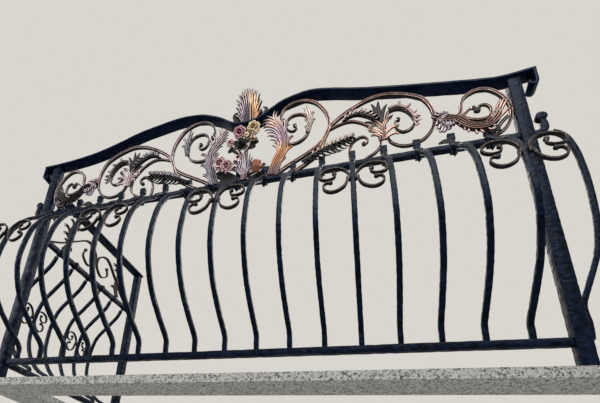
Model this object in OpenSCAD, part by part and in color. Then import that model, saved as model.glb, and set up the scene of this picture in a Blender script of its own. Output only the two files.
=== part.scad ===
// Wrought iron balcony railing: a bellied front panel with a scrollwork frieze and a raised
// handrail, a lower bellied return panel on the left, both standing on a granite coping.
// Millimetres, +Z up, +X to the right along the front, the street is at -Y.
// The origin lies on the underside of the coping, at mid front, in the plane of the front rails.

/* [Front panel] */
// distance between the centre lines of the two front posts
post_span = 1935; // [1600:5:2400]
// side of a square post
post_size = 40; // [30:1:60]
// side of a square belly bar
bar_size = 16; // [12:1:20]
// number of belly bars between the front posts
bar_count = 17; // [9:1:21]
// distance from the left post to the first bar, centre to centre
bar_first_gap = 69; // [50:1:110]
// distance from the last bar to the right post, centre to centre
bar_last_gap = 106; // [50:1:110]
// how far the front belly stands out from the rails
belly_out = 243; // [150:1:300]
// how far the corner bar stands out beside the right post
corner_out = 120; // [80:1:160]

/* [Rails] */
// height of the bottom rail centre above the origin
bottom_rail_z = 110; // [80:1:200]
// height of the frieze rail centre above the bottom rail centre
frieze_rise = 744; // [600:1:850]
// side of the square bottom and frieze rails
rail_size = 24; // [18:1:30]
// width of the flat handrail bar
handrail_w = 56; // [40:1:70]
// thickness of the flat handrail bar
handrail_t = 10; // [8:1:14]
// length of the turned down handrail ends
end_drop = 76; // [50:1:100]

/* [Left return] */
// distance from the left front post to the wall post, centre to centre
return_span = 821; // [600:1:1200]
// turn of the return away from a square corner
return_turn = 3.9; // [0:0.1:6]
// height of the return frieze rail above its bottom rail
return_frieze_rise = 630; // [500:1:744]
// height of the return handrail centre above its bottom rail
return_rail_rise = 906; // [800:1:1000]
// distance from the front post to the first return bar, centre to centre
return_first = 146; // [80:1:180]
// distance from the last return bar to the wall post, centre to centre
return_last_gap = 83.5; // [60:0.5:140]
// number of return bars
return_bars = 6; // [4:1:7]
// how far the return belly stands out
return_out = 182; // [120:1:260]

/* [Frieze] */
// height of the handrail's crests above the frieze rail centre
crest_rise = 436; // [380:1:520]
// in-plane thickness of the large scroll bars
scroll_t = 13; // [8:1:18]
// depth of the large scroll bars
scroll_d = 16; // [10:1:24]
// thickness of the beaten leaves
leaf_t = 7; // [4:1:12]
// in-plane thickness of the light scroll bars
small_t = 8; // [5:1:12]

/* [Coping] */
// thickness of the granite coping
coping_t = 30; // [25:1:60]
// front overhang of the coping past the rail plane
coping_front = 40; // [30:1:120]
// depth of the coping stones
coping_d = 150; // [120:5:300]
// joint between neighbouring stones
coping_joint = 0.3; // [0.2:0.1:3]
// how far the coping runs on past the right post
coping_right = 100; // [60:5:200]
// how far the coping runs on past the left post
coping_left = 60; // [50:5:120]
// width of the stone under the return
coping_return_w = 170; // [120:5:300]

/* [Hidden] */

$fn = 32;
iron = [0.06, 0.09, 0.15];
copper = [0.78, 0.55, 0.47];
granite = [0.62, 0.62, 0.60];

post_x = post_span / 2;
frieze_z = bottom_rail_z + frieze_rise;
bar_first = -post_x + bar_first_gap;
bar_pitch = (post_span - bar_first_gap - bar_last_gap) / (bar_count - 1);
return_pitch = (return_span - return_first - return_last_gap) / (return_bars - 1);
wide = post_span / 1935;
tall = crest_rise / 436;
front_k = [wide, tall];
return_k = [return_span / 821, (return_rail_rise - return_frieze_rise) / 276];
collar_t = 4;
collar_w = 18;
strap_top = 64;
strap_tail = 50;
leaf_y = -(scroll_d + leaf_t) / 2;

// top edge of the front handrail from left to right, above the centre of the frieze rail
crown = spread([[-1035, 304], [-950, 304], [-834, 313], [-724, 331], [-620, 362],
                [-520, 398], [-410, 421], [-310, 436], [-218, 427], [-168, 408],
                [-119, 381], [-72, 343], [-36, 325], [19, 324], [62, 339], [104, 367],
                [148, 398], [200, 417], [270, 428], [350, 411], [464, 374], [607, 338],
                [741, 308], [866, 282], [932, 274], [1035, 286]]);

// middle lines of the fern and of the calyx's fringe
fern_spine = [[236, 50], [262, 66], [296, 84], [330, 100], [366, 112], [400, 122], [430, 130]];
fringe_spine = [[392, 222], [420, 240], [450, 246], [480, 232], [505, 208], [524, 176]];

// height and reach of a front belly bar, from the bottom rail to the frieze rail
belly = [[0, 0], [33, 4], [66, 13], [113, 90], [169, 167], [235, 216], [311, 243], [395, 241],
         [490, 219], [584, 165], [659, 92], [715, 48], [744, 0]];

// height and reach of a return belly bar
return_belly = [[0, 0], [28, 6], [56, 62], [99, 112], [155, 152], [222, 177], [297, 182],
                [371, 176], [445, 151], [513, 89], [569, 38], [618, 0]];

// points of a drawing, fitted to the width and height of its panel
function spread(p, k = front_k) = [for (q = p) [q[0] * k[0], q[1] * k[1]]];

// interpolation between two points
function mix(a, b, t) = a + (b - a) * t;

// one point of a smooth curve through p1 and p2
function curve_point(p0, p1, p2, p3, t) =
    0.5 * (2 * p1 + (p2 - p0) * t + (2 * p0 - 5 * p1 + 4 * p2 - p3) * t * t
           + (3 * p1 - 3 * p2 + p3 - p0) * t * t * t);

// smooth curve through all points, n steps between neighbours
function curve(p, n) = let (m = len(p) - 1) concat(
    [for (i = [0:m - 1]) for (j = [0:n - 1])
        curve_point(p[max(i - 1, 0)], p[i], p[i + 1], p[min(i + 2, m)], j / n)],
    [p[m]]);

// unit normal of the curve q at point i
function normal_at(q, i) =
    let (d = q[min(i + 1, len(q) - 1)] - q[max(i - 1, 0)], l = norm(d)) [-d[1] / l, d[0] / l];

// width that runs from a through b to c along the curve
function taper(t, a, b, c) = t < 0.5 ? mix(a, b, 2 * t) : mix(b, c, 2 * t - 1);

// outline of a bar along the curve q
function ribbon(q, a, b, c) = let (m = len(q) - 1) concat(
    [for (i = [0:m]) q[i] + normal_at(q, i) * taper(i / m, a, b, c) / 2],
    [for (i = [m:-1:0]) q[i] - normal_at(q, i) * taper(i / m, a, b, c) / 2]);

// width of a lobed leaf: full in its first half, pointed at its tip
function lobe(t, w, lobes) =
    w * pow(sin(180 * pow(t, 0.7)), 0.8) * (0.72 + 0.28 * cos(360 * lobes * t)) + 3 * (1 - t) + 1;

// outline of a lobed leaf along the curve q
function leaf_outline(q, w, lobes) = let (m = len(q) - 1) concat(
    [for (i = [0:m]) q[i] + normal_at(q, i) * lobe(i / m, w, lobes) / 2],
    [for (i = [m:-1:0]) q[i] - normal_at(q, i) * lobe(i / m, w, lobes) / 2]);

// free end of a frond from p: it curls off by turn degrees over its reach, ever tighter
function free_end(p, a, turn, reach, i = 1) = i > 6 ? [] :
    let (h = a + turn * i * (i + 1) / 42, q = p + reach / 6 * [cos(h), sin(h)])
    concat([q], free_end(q, a, turn, reach, i + 1));

// middle line of a frond f = [leave, offset, fork, turn, reach, width]: it lies beside the
// spine as far as the share leave, forks off and curls
function frond_line(spine, f) =
    let (q = curve(spine, 6), m = len(q) - 1, k = max(1, floor(f[0] * m)),
         d = q[min(k + 1, m)] - q[k - 1])
    concat([for (i = [0:3:k - 1]) q[i] + normal_at(q, i) * f[1]],
           [q[k] + normal_at(q, k) * f[1]],
           free_end(q[k] + normal_at(q, k) * f[1], atan2(d[1], d[0]) + f[2], f[3], f[4]));

// middle line of a barb that springs from the curve q at the share t
function barb(q, t, fork, turn, reach) =
    let (m = len(q) - 1, k = round(t * m), d = q[min(k + 1, m)] - q[max(k - 1, 0)])
    concat([q[k]], free_end(q[k], atan2(d[1], d[0]) + fork, turn, reach));

// half width of a blade of width w at the share t of its length: full belly, pointed tip
function blade(t, w) = w / 2 * (mix(0.6, 0.14, t) + 0.6 * sin(180 * pow(t, 1.8)));

// outline of a blade along the line q
function tongue(q, w) = let (m = len(q) - 1) concat(
    [for (i = [0:m]) q[i] + normal_at(q, i) * blade(i / m, w)],
    [for (i = [m:-1:0]) q[i] - normal_at(q, i) * blade(i / m, w)]);

// flat bar bent along points in the x-z plane
module bent(p, n, a, b, c, d, y = 0)
    translate([0, y, 0])
        rotate([90, 0, 0])
            linear_extrude(d, center = true)
                polygon(ribbon(curve(p, n), a, b, c));

// beaten leaf along points in the x-z plane
module leaf(p, n, w, lobes, d, y = 0)
    translate([0, y, 0])
        rotate([90, 0, 0])
            linear_extrude(d, center = true)
                polygon(leaf_outline(curve(p, n), w, lobes));

// scroll of the frieze, thinned from a through b to c, its end upset into a round eye
module scroll(p, n, a, b, c, eye = 0, k = front_k) {
    bent(spread(p, k), n, a, b, c, scroll_d);
    if (eye > 0)
        translate([p[len(p) - 1][0] * k[0], 0, p[len(p) - 1][1] * k[1]])
            rotate([90, 0, 0])
                cylinder(r = eye, h = scroll_d, center = true);
}

// beaten sheet cut to the outlines below it, on the front face of the scrolls
module beaten(y = leaf_y)
    translate([0, y, 0])
        rotate([90, 0, 0])
            linear_extrude(leaf_t, center = true)
                children();

// bundle of fronds along one spine
module fronds(spine, list, y = leaf_y, k = front_k)
    beaten(y)
        for (f = list)
            polygon(spread(tongue(frond_line(spine, f), f[5]), k));

// comb of n barbs between the shares t0 and t1 of a spine, the longest in the middle
module comb(spine, n, t0, t1, fork, turn, reach, w, y = leaf_y)
    beaten(y)
        for (j = [0:n - 1])
            polygon(spread(tongue(barb(curve(spine, 6), mix(t0, t1, j / (n - 1)), fork, turn,
                reach * (1 - 0.5 * pow(abs(2 * j / (n - 1) - 1), 1.5))), w)));

// a flower at a point of the frieze
module at(x, y, z)
    translate([x * wide, y, z * tall])
        scale(tall)
            children();

// the same pieces on both halves of the frieze
module both_halves()
    for (s = [0, 1])
        mirror([s, 0, 0])
            children();

// frieze rail with its collars and the posts, as one block to seat the ornament on
module frieze_seat() {
    translate([-post_x, -rail_size / 2, -rail_size / 2])
        cube([post_span, rail_size, rail_size]);
    for (k = [0:bar_count - 1])
        translate([bar_first + k * bar_pitch - collar_w / 2, -rail_size / 2 - collar_t,
                   -rail_size / 2 - collar_t])
            cube([collar_w, rail_size + 2 * collar_t, rail_size + 2 * collar_t]);
    for (s = [-1, 1])
        translate([s * post_x - post_size / 2, -post_size / 2, -60])
            cube([post_size, post_size, 600]);
}

// frieze drawing: origin at mid front on the centre of the frieze rail
module on_frieze()
    translate([0, 0, frieze_z])
        difference() {
            children();
            frieze_seat();
        }

// return panel: local x runs from the front post to the wall, local -y points outwards
module on_return()
    translate([-post_x, 0, 0])
        rotate([0, 0, 90 - return_turn])
            mirror([0, 1, 0])
                children();

module coping_block(x0, x1, y0, y1)
    translate([x0, y0, 0])
        cube([x1 - x0, y1 - y0, coping_t]);

// height of the handrail underside above x
function crown_z(x) = let (q = curve(crown, 8),
    k = [for (i = [0:len(q) - 2]) if (q[i][0] <= x && q[i + 1][0] > x) i][0])
    frieze_z - handrail_t
    + mix(q[k][1], q[k + 1][1], (x - q[k][0]) / (q[k + 1][0] - q[k][0]));

module post(x)
    translate([x - post_size / 2, -post_size / 2, coping_t])
        cube([post_size, post_size, min(crown_z(x - 20), crown_z(x + 20)) - coping_t]);

module post_front_left() color(iron) post(-post_x);

module post_front_right() color(iron) post(post_x);

module post_wall_left() color(iron)
    on_return()
        translate([return_span - post_size / 2, -post_size / 2, coping_t])
            cube([post_size, post_size, bottom_rail_z + return_rail_rise - handrail_t / 2
                  - coping_t]);

// turned down end of the handrail with its small inward curl, outer face at x = 0
module rail_end() {
    translate([-handrail_t, -handrail_w / 2, -end_drop + 12])
        cube([handrail_t, handrail_w, end_drop - 12 - handrail_t]);
    bent([[-5, -end_drop + 12.2], [-7, -end_drop + 2], [-18, -end_drop - 4],
          [-28, -end_drop + 4], [-27, -end_drop + 12]], 5, handrail_t, handrail_t, 7,
         handrail_w);
}

module handrail_front() color(iron) {
    translate([0, 0, frieze_z - handrail_t / 2])
        bent(crown, 6, handrail_t, handrail_t, handrail_t, handrail_w);
    for (end = [crown[0], crown[len(crown) - 1]])
        translate([end[0], 0, frieze_z + end[1]])
            mirror([end[0] < 0 ? 1 : 0, 0, 0])
                rail_end();
}

// straight bar of the return from the front post over a length l, its centre at height z
module return_bar(l, w, t, z)
    difference() {
        on_return()
            translate([0, -w / 2, bottom_rail_z + z - t / 2])
                cube([l, w, t]);
        post(-post_x);
    }

module handrail_left() color(iron)
    return_bar(return_span + post_size, handrail_w, handrail_t, return_rail_rise);

// end of the rail beyond the post, turned up and spread into a round paddle
module rail_knob() {
    bent([[post_x + 36, 0], [post_x + 50, 12], [post_x + 54, 34], [post_x + 52, 60]], 5,
         rail_size, 18, 16, 20);
    translate([post_x + 51, 0, 70])
        rotate([90, 0, 0])
            cylinder(r = 14, h = 20, center = true);
}

module frieze_rail_front() color(iron)
    translate([0, 0, frieze_z])
        difference() {
            union() {
                translate([-post_x - post_size, -rail_size / 2, -rail_size / 2])
                    cube([post_span + 2 * post_size, rail_size, rail_size]);
                for (s = [0, 1])
                    mirror([s, 0, 0])
                        rail_knob();
            }
            for (s = [-1, 1])
                translate([s * post_x - post_size / 2, -post_size / 2, -post_size / 2])
                    cube(post_size);
        }

module frieze_rail_left() color(iron)
    return_bar(return_span - post_size / 2, rail_size, rail_size, return_frieze_rise);

module bottom_rail_front() color(iron)
    translate([-post_x + post_size / 2, -rail_size / 2, bottom_rail_z - rail_size / 2])
        cube([post_span - post_size, rail_size, rail_size]);

module bottom_rail_left() color(iron)
    return_bar(return_span - post_size / 2, rail_size, rail_size, 0);

// square bar bent in the plane across the panel, p holds height and reach
module belly_bar(x, p, rise, reach)
    translate([x, 0, bottom_rail_z])
        rotate([0, 0, -90])
            bent([for (k = p) [k[1] * reach, k[0] * rise]], 4, bar_size, bar_size, bar_size,
                 bar_size);

module front_bars(first, last)
    difference() {
        for (k = [first:last])
            belly_bar(bar_first + k * bar_pitch, belly, frieze_rise / 744, belly_out / 243);
        translate([-post_x, -rail_size / 2, bottom_rail_z - 50])
            cube([post_span, rail_size, 50 + rail_size / 2]);
        translate([-post_x, -rail_size / 2 - collar_t, frieze_z - strap_tail - 2])
            cube([post_span, rail_size + 2 * collar_t, strap_tail + 2 + rail_size]);
    }

module belly_bars_left_side() color(iron) front_bars(0, 5);

module belly_bars_middle() color(iron) front_bars(6, 10);

module belly_bars_right_side() color(iron) front_bars(11, bar_count - 1);

module belly_bar_corner() color(iron)
    difference() {
        translate([post_x, 0, bottom_rail_z])
            bent([for (q = [[26, 0], [28, 50], [24, 103], [41, 151], [73, 228], [96, 295],
                            [111, 380], [117, 453], [120, 529], [119, 585], [116, 643],
                            [104, 702], [88, 730], [60, 744]])
                      [q[0] * corner_out / 120, q[1] * frieze_rise / 744]],
                 4, bar_size, bar_size, bar_size, bar_size);
        translate([post_x - post_size / 2, -post_size / 2, 0])
            cube([post_size, post_size, 1000]);
        frieze_rail_front();
    }

module belly_bars_return() color(iron)
    on_return()
        difference() {
            for (k = [0:return_bars - 1])
                belly_bar(return_first + k * return_pitch, return_belly,
                          return_frieze_rise / 630, return_out / 182);
            translate([0, -rail_size / 2, bottom_rail_z - 50])
                cube([return_span, rail_size, 50 + rail_size / 2]);
            translate([0, -rail_size / 2 - collar_t,
                       bottom_rail_z + return_frieze_rise - rail_size / 2 - collar_t])
                cube([return_span, rail_size + 2 * collar_t, rail_size + 2 * collar_t]);
        }

module collar(x, z)
    translate([x - collar_w / 2, 0, z])
        difference() {
            translate([0, -rail_size / 2 - collar_t, -rail_size / 2 - collar_t])
                cube([collar_w, rail_size + 2 * collar_t, rail_size + 2 * collar_t]);
            translate([-1, -rail_size / 2, -rail_size / 2])
                cube([collar_w + 2, rail_size, rail_size]);
        }

// strap down the front of the rail, from its collar to its point
module strap()
    translate([0, -rail_size / 2 - collar_t / 2, 0])
        rotate([90, 0, 0])
            linear_extrude(collar_t, center = true)
                polygon([[-collar_w / 2, -rail_size / 2 - 2], [-collar_w / 2, 12 - strap_tail],
                         [0, -strap_tail], [collar_w / 2, 12 - strap_tail],
                         [collar_w / 2, -rail_size / 2 - 2]]);

// strut from the rail up to the scrollwork with its square head
module strut() {
    translate([-collar_w / 2, -scroll_d / 2 + 1, rail_size / 2])
        cube([collar_w, scroll_d - 2, strap_top - rail_size / 2 - 20]);
    translate([-collar_w / 2 - 3, -scroll_d / 2, strap_top - 26])
        cube([collar_w + 6, scroll_d + 4, 26]);
}

module bar_collars_front() color(iron)
    difference() {
        for (k = [0:bar_count - 1]) {
            collar(bar_first + k * bar_pitch, frieze_z);
            translate([bar_first + k * bar_pitch, 0, frieze_z]) {
                strap();
                strut();
            }
        }
        translate([0, 0, frieze_z])
            both_halves() {
                crest_ring();
                wave_scroll();
                branch_strand();
                end_scroll_outer();
            }
    }

module bar_collars_return() color(iron)
    on_return()
        for (k = [0:return_bars - 1])
            collar(return_first + k * return_pitch, bottom_rail_z + return_frieze_rise);

// two back to back scrolls held to a bar, drawn about the centre of their collar
module scroll_pair(k)
    scale(k)
        for (s = [-1, 1])
            scale([s, 1, 1]) {
                bent([[10.8, -18], [10.8, 10], [22, 34], [41, 50], [63, 53], [84, 46], [97, 30],
                      [96, 9], [81, -2], [62, 0], [51, 12], [54, 27]], 4, 5, 6, 4, 14);
                bent([[16.5, -5], [17, -18], [21, -34], [30, -50], [47, -63], [65, -65], [81, -54],
                      [87, -35], [80, -19], [66, -17]], 4, 5, 6, 4, 14);
            }

module bar_scrolls_front() color(copper)
    for (k = [0:4:bar_count - 1])
        translate([bar_first + k * bar_pitch, -belly_out + 3, bottom_rail_z + frieze_rise * 0.634])
            rotate([13, 0, 0])
                scroll_pair(1);

module bar_scrolls_return() color(copper)
    on_return()
        for (k = [1, 4])
            translate([return_first + k * return_pitch, -return_out - bar_size / 2 - 6.5,
                       bottom_rail_z + return_frieze_rise * 0.571])
                scroll_pair(0.9);

module crest_ring()
    scroll([[120, 4], [170, 44], [213, 71], [267, 105], [297, 129], [321, 160], [336, 199],
          [341, 242], [334, 289], [315, 335], [287, 373], [246, 396], [200, 398], [162, 372],
          [146, 330], [152, 290]], 5, scroll_t, scroll_t, scroll_t * 0.6, 9);

module crest_ring_right() color(copper)
    on_frieze()
        difference() {
            crest_ring();
            wave_scroll();
        }

module crest_ring_left() color(copper)
    on_frieze()
        mirror([1, 0, 0])
            difference() {
                crest_ring();
                wave_scroll();
            }

module crest_spiral() {
    scroll([[158, 172], [187, 163], [222, 168], [250, 192], [264, 230], [263, 275],
          [246, 312], [214, 325], [185, 316], [169, 284], [178, 246], [199, 234],
          [214, 248], [206, 264]], 5, small_t, small_t, small_t * 0.6, 7);
    fronds([[258, 200], [267, 240], [264, 290]],
           [[1, 0, 0, 30, 62, 17], [0.8, -5, 0, -70, 40, 13], [0.5, -5, 0, -80, 34, 12],
            [0.6, 4, 0, 90, 30, 12]]);
}

module crest_spiral_right() color(copper)
    on_frieze()
        crest_spiral();

module crest_spiral_left() color(copper)
    on_frieze()
        mirror([1, 0, 0])
            crest_spiral();

module wave_scroll()
    scroll([[185, 4], [255, 48], [300, 96], [340, 209], [364, 240], [403, 273], [442, 299],
          [480, 318], [518, 329], [554, 331], [590, 322], [625, 307], [657, 288],
          [682, 266], [699, 230], [708, 191], [709, 154], [703, 121], [688, 90], [664, 64],
          [626, 48], [588, 54], [560, 78], [550, 106]], 5, scroll_t, scroll_t,
           scroll_t * 0.6);

module wave_scroll_right() color(copper)
    on_frieze()
        wave_scroll();

module wave_scroll_left() color(copper)
    on_frieze()
        mirror([1, 0, 0])
            wave_scroll();

module wave_spiral() {
    scroll([[542, 150], [546, 190], [558, 231], [583, 242], [607, 235], [629, 210], [643, 174],
          [641, 144], [626, 125], [602, 119], [583, 140], [578, 172], [590, 186]],
         5, small_t, small_t, small_t * 0.6, 7);
    fronds([[560, 236], [590, 244], [622, 222], [641, 186]],
           [[0.3, 3, 0, 90, 26, 12], [0.6, 3, 0, 85, 28, 12], [0.85, 3, 0, 80, 26, 12],
            [1, 0, 0, 20, 34, 13]]);
}

module wave_spiral_right() color(copper)
    on_frieze()
        wave_spiral();

module wave_spiral_left() color(copper)
    on_frieze()
        mirror([1, 0, 0])
            wave_spiral();

// light bars that branch off the wave scroll and end at the calyx flower
module branch_strand() {
    scroll([[336, 199], [382, 219], [420, 224], [449, 213], [477, 191], [497, 164],
          [517, 133]], 5, small_t, small_t, small_t);
    scroll([[520, 122], [524, 85], [516, 57], [498, 37], [476, 24], [450, 4]],
         5, small_t, small_t, small_t);
    scroll([[420, 4], [412, 50], [416, 84], [430, 116], [458, 132], [479, 119], [478, 98],
          [466, 95]], 5, small_t, small_t, small_t * 0.6, 8);
}

module branch_strands() color(copper)
    on_frieze()
        both_halves()
            difference() {
                branch_strand();
                crest_ring();
                wave_scroll();
                wave_spiral();
            }

module end_scroll_outer()
    scroll([[768, 134], [793, 160], [801, 205], [813, 230], [835, 247], [861, 255],
          [888, 248], [912, 226], [932, 192], [943, 153], [941, 108], [930, 74],
          [913, 48], [893, 32], [868, 28]], 5, small_t + 2, small_t + 1, small_t);

module end_scroll_inner()
    scroll([[792, 150], [806, 132], [824, 118], [848, 110], [874, 114], [887, 138],
          [884, 164], [868, 178], [850, 172], [846, 158]], 5, small_t, small_t,
         small_t * 0.7, 10);

module end_scrolls() color(copper)
    on_frieze()
        both_halves() {
            end_scroll_outer();
            difference() {
                end_scroll_inner();
                end_scroll_outer();
            }
        }

module end_acanthus() color(copper)
    on_frieze()
        both_halves() {
            fronds([[716, 136], [745, 134], [775, 122], [798, 92], [827, 70], [863, 68],
                    [893, 96], [910, 126]],
                   [[1, 4, 0, 20, 32, 14], [1, -4, 0, -10, 32, 13], [0.9, 8, 0, 50, 32, 12],
                    [0.84, -8, 0, -70, 30, 13], [0.74, -10, 0, -80, 36, 13],
                    [0.64, -12, 0, -85, 40, 13], [0.54, -12, 0, -85, 40, 13],
                    [0.46, -12, 0, -85, 38, 13], [0.7, 9, 0, 60, 30, 12],
                    [0.4, 8, 0, 70, 40, 12]]);
            comb([[716, 136], [732, 130], [750, 124], [768, 118]], 5, 0.05, 0.95, -75, -30, 74,
                 16);
            comb([[712, 110], [716, 136], [724, 160]], 4, 0.1, 0.95, -40, -60, 42, 13);
        }

module fern_leaves() color(copper)
    on_frieze()
        both_halves() {
            comb(fern_spine, 15, 0.05, 0.98, -78, 38, 58, 14);
            comb(fern_spine, 10, 0.3, 0.98, 62, -60, 17, 10);
            beaten()
                polygon(spread(ribbon(curve(fern_spine, 4), 9, 9, 6)));
        }

module calyx_flowers() color(copper)
    on_frieze()
        both_halves()
            fronds([[534, 80], [534, 120], [531, 160], [526, 200]],
                   [[0.9, 4, 0, 60, 84, 13], [1, 2, 0, 34, 88, 13], [1, 0, 0, 4, 92, 13],
                    [1, -2, 0, -26, 86, 13], [0.9, -4, 0, -50, 74, 13],
                    [0.3, 6, 24, 60, 92, 19], [0.2, 7, 34, 100, 70, 17],
                    [0.3, -6, -30, -100, 70, 18], [0.1, -6, -34, -130, 66, 16]]);

module calyx_fringes() color(copper)
    on_frieze()
        both_halves() {
            comb(fringe_spine, 9, 0.06, 0.9, 66, -80, 32, 12, leaf_y - leaf_t);
            comb(fringe_spine, 7, 0.1, 0.94, -64, 60, 18, 10, leaf_y - leaf_t);
            beaten(leaf_y - leaf_t)
                polygon(spread(ribbon(curve(fringe_spine, 4), 7, 10, 8)));
            beaten()
                polygon(spread(ribbon(curve([[422, 288], [434, 266], [440, 244]], 4), 8, 8, 8)));
        }

module centre_acanthus() color(copper)
    on_frieze() {
        fronds([[124, 4], [144, 83], [164, 135], [164, 194], [148, 249], [128, 290]],
               [[1, 0, 0, 50, 60, 15], [0.96, 6, 0, 100, 60, 14], [0.8, 10, 0, 120, 72, 13],
                [0.64, 12, 0, 125, 78, 13], [0.46, 13, 0, 125, 76, 13],
                [0.3, 12, 0, 115, 66, 13], [1, -5, 0, -60, 66, 14],
                [0.86, -8, 0, -110, 48, 13], [0.7, -10, 0, -115, 44, 12],
                [0.52, -11, 0, -115, 42, 12], [0.34, -11, 0, -110, 44, 12],
                [0.16, -9, 0, -80, 50, 12]]);
        fronds([[-118, 4], [-134, 60], [-148, 124], [-148, 183], [-131, 226], [-114, 262]],
               [[1, 0, 0, -40, 60, 15], [0.96, -6, 0, -90, 50, 14], [1, 5, 0, 60, 64, 14],
                [0.86, 8, 0, 100, 56, 13], [0.7, 10, 0, 110, 50, 13],
                [0.52, 11, 0, 115, 46, 12], [0.34, 11, 0, 110, 46, 12],
                [0.16, 9, 0, 80, 50, 12], [0.8, -10, 0, -105, 54, 13],
                [0.62, -12, 0, -110, 56, 12]]);
    }

// stem of the bunch with its leaves and the twigs that carry the flowers
module bouquet_stem() color(copper)
    on_frieze() {
        scroll([[0, 4], [1, 90], [0, 170], [-4, 230], [-20, 266]], 6, 12, 14, 9);
        for (p = [[[1, 70], [-34, 98], [-80, 96]], [[1, 120], [-30, 176], [-62, 218]],
                  [[0, 170], [24, 226], [37, 278]], [[0, 20], [30, 48], [64, 56]]])
            scroll(p, 5, small_t, small_t, small_t);
        fronds([[2, 6], [3, 50], [3, 90], [2, 120]],
               [[0.95, 8, 0, 36, 52, 13], [1, 4, 0, 16, 58, 13], [1, 0, 0, 0, 60, 13],
                [1, -4, 0, -16, 58, 13], [0.95, -8, 0, -36, 52, 13], [0.4, 9, 0, 70, 52, 14],
                [0.5, -9, 0, -70, 52, 14]]);
    }

// ring of n round petals of radius r set out around a flower's middle
module petals(n, r, out, z, h, first = 0)
    translate([0, 0, z])
        linear_extrude(h)
            for (a = [0:n - 1])
                rotate(first + a * 360 / n)
                    translate([out, 0])
                        circle(r);

// open flower on its stalk: two rings of petals around a bud
module rose(r)
    rotate([90, 0, 0]) {
        cylinder(r = 5, h = 12);
        petals(5, r * 0.42, r * 0.58, 8, r * 0.3);
        petals(5, r * 0.34, r * 0.36, 9, r * 0.54, 36);
        translate([0, 0, 10])
            cylinder(r1 = r * 0.33, r2 = r * 0.2, h = r * 0.72);
    }

// flat open flower with five broad petals and a round heart
module poppy(r)
    rotate([90, 0, 0]) {
        cylinder(r = 5, h = 12);
        petals(5, r * 0.48, r * 0.5, 8, 6, 18);
        translate([0, 0, 10])
            cylinder(r1 = r * 0.28, r2 = r * 0.2, h = 10);
    }

module bouquet_roses() color(copper)
    on_frieze() {
        at(-80, -scroll_d / 2, 96)
            rose(44);
        at(-20, -scroll_d / 2, 266)
            rose(29);
        at(-62, -scroll_d / 2, 218)
            rose(20);
        at(37, -scroll_d / 2, 278)
            rose(27);
        at(-8, -scroll_d / 2, 190)
            poppy(28);
    }

// trumpet flower whose petals hang down
module bouquet_lily() color(copper)
    on_frieze() {
        fronds([[26, 238], [28, 230], [30, 222]],
               [[1, 0, 0, -14, 40, 15], [1, 4, 26, 20, 40, 15], [1, -4, -8, -10, 36, 13],
                [0.5, 4, 50, 24, 34, 14], [0.5, -4, -50, -30, 22, 12]], leaf_y - leaf_t - 2);
        at(28, -scroll_d / 2, 234)
            rotate([90, 0, 0]) {
                cylinder(r = 5, h = 10);
                translate([0, 0, 7])
                    cylinder(r1 = 7, r2 = 12, h = 16);
            }
    }

module bouquet_bud() color(copper)
    on_frieze()
        at(64, 0, 30) {
            translate([0, -30, 0])
                rotate([0, 8, 0]) {
                    cylinder(r1 = 12, r2 = 19, h = 22);
                    translate([0, 0, 22])
                        cylinder(r1 = 19, r2 = 8, h = 24);
                }
            translate([0, -scroll_d / 2, 26])
                rotate([90, 0, 0])
                    cylinder(r = 5, h = 14);
        }

// leaf on the handrail's crest, cut to the rail's curve below
module on_crest()
    difference() {
        translate([8 * wide, 0, crown_z(8 * wide) + handrail_t])
            children();
        translate([0, 0, frieze_z - handrail_t / 2])
            bent(crown, 6, handrail_t, handrail_t, handrail_t, handrail_w);
    }

module finial_leaf() color(copper)
    on_crest()
        for (s = [-1, 1])
            fronds([[0, -2], [0, 40], [-2, 80], [-6, 120]],
                   [[1, 0, 0, s * 8, 106, 15], [0.96, s * 5, s * 3, s * 20, 104, 15],
                    [0.86, s * 11, s * 4, s * 18, 106, 15],
                    [0.64, s * 16, s * 6, s * 28, 96, 15],
                    [0.4, s * 18, s * 8, s * 45, 72, 14],
                    [0.16, s * 15, s * 20, s * 70, 48, 13]], -4);

module finial_side_leaves() color(iron)
    on_crest()
        for (s = [-1, 1])
            fronds([[-s * 12, 0], [-s * 34, 20], [-s * 58, 42], [-s * 70, 68]],
                   [[1, 0, 0, -s * 110, 44, 15], [0.7, -s * 4, 0, -s * 60, 42, 13],
                    [0.4, s * 4, 0, -s * 40, 34, 13]], 6);

module return_scrolls() color(copper)
    on_return()
        translate([0, 0, bottom_rail_z + return_frieze_rise])
            for (s = [0, 1])
                translate([s * return_span, 0, 0])
                    mirror([s, 0, 0])
                        scroll([[66, 16], [140, 60], [230, 130], [320, 190], [390, 160],
                                [400, 100], [350, 60], [300, 90], [310, 130]], 6, small_t,
                               small_t, small_t * 0.6, 9, return_k);

module return_acanthus() color(copper)
    on_return()
        translate([0, 0, bottom_rail_z + return_frieze_rise])
            for (s = [0, 1])
                translate([s * return_span, 0, 0])
                    mirror([s, 0, 0])
                        fronds([[165, 20], [195, 80], [185, 150], [205, 200]],
                               [[1, 0, 0, 40, 56, 14], [0.85, 6, 0, 110, 66, 13],
                                [0.65, 9, 0, 120, 66, 13], [0.45, 11, 0, 120, 62, 13],
                                [0.25, 11, 0, 110, 54, 13], [0.9, -6, 0, -100, 60, 13],
                                [0.7, -9, 0, -115, 62, 13], [0.45, -10, 0, -120, 56, 13],
                                [0.25, -11, 0, -110, 50, 13]], leaf_y, return_k);

module coping_front_stone() color(granite)
    coping_block(post_x * 0.3, post_x + coping_right, -coping_front, coping_d - coping_front);

module coping_corner_stone() color(granite)
    coping_block(-post_x - coping_left, post_x * 0.3 - coping_joint, -coping_front,
                 coping_d - coping_front);

module coping_return_stone() color(granite)
    coping_block(-post_x - coping_left, -post_x - coping_left + coping_return_w,
                 coping_d - coping_front + coping_joint, return_span + post_size * 1.5);

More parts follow.
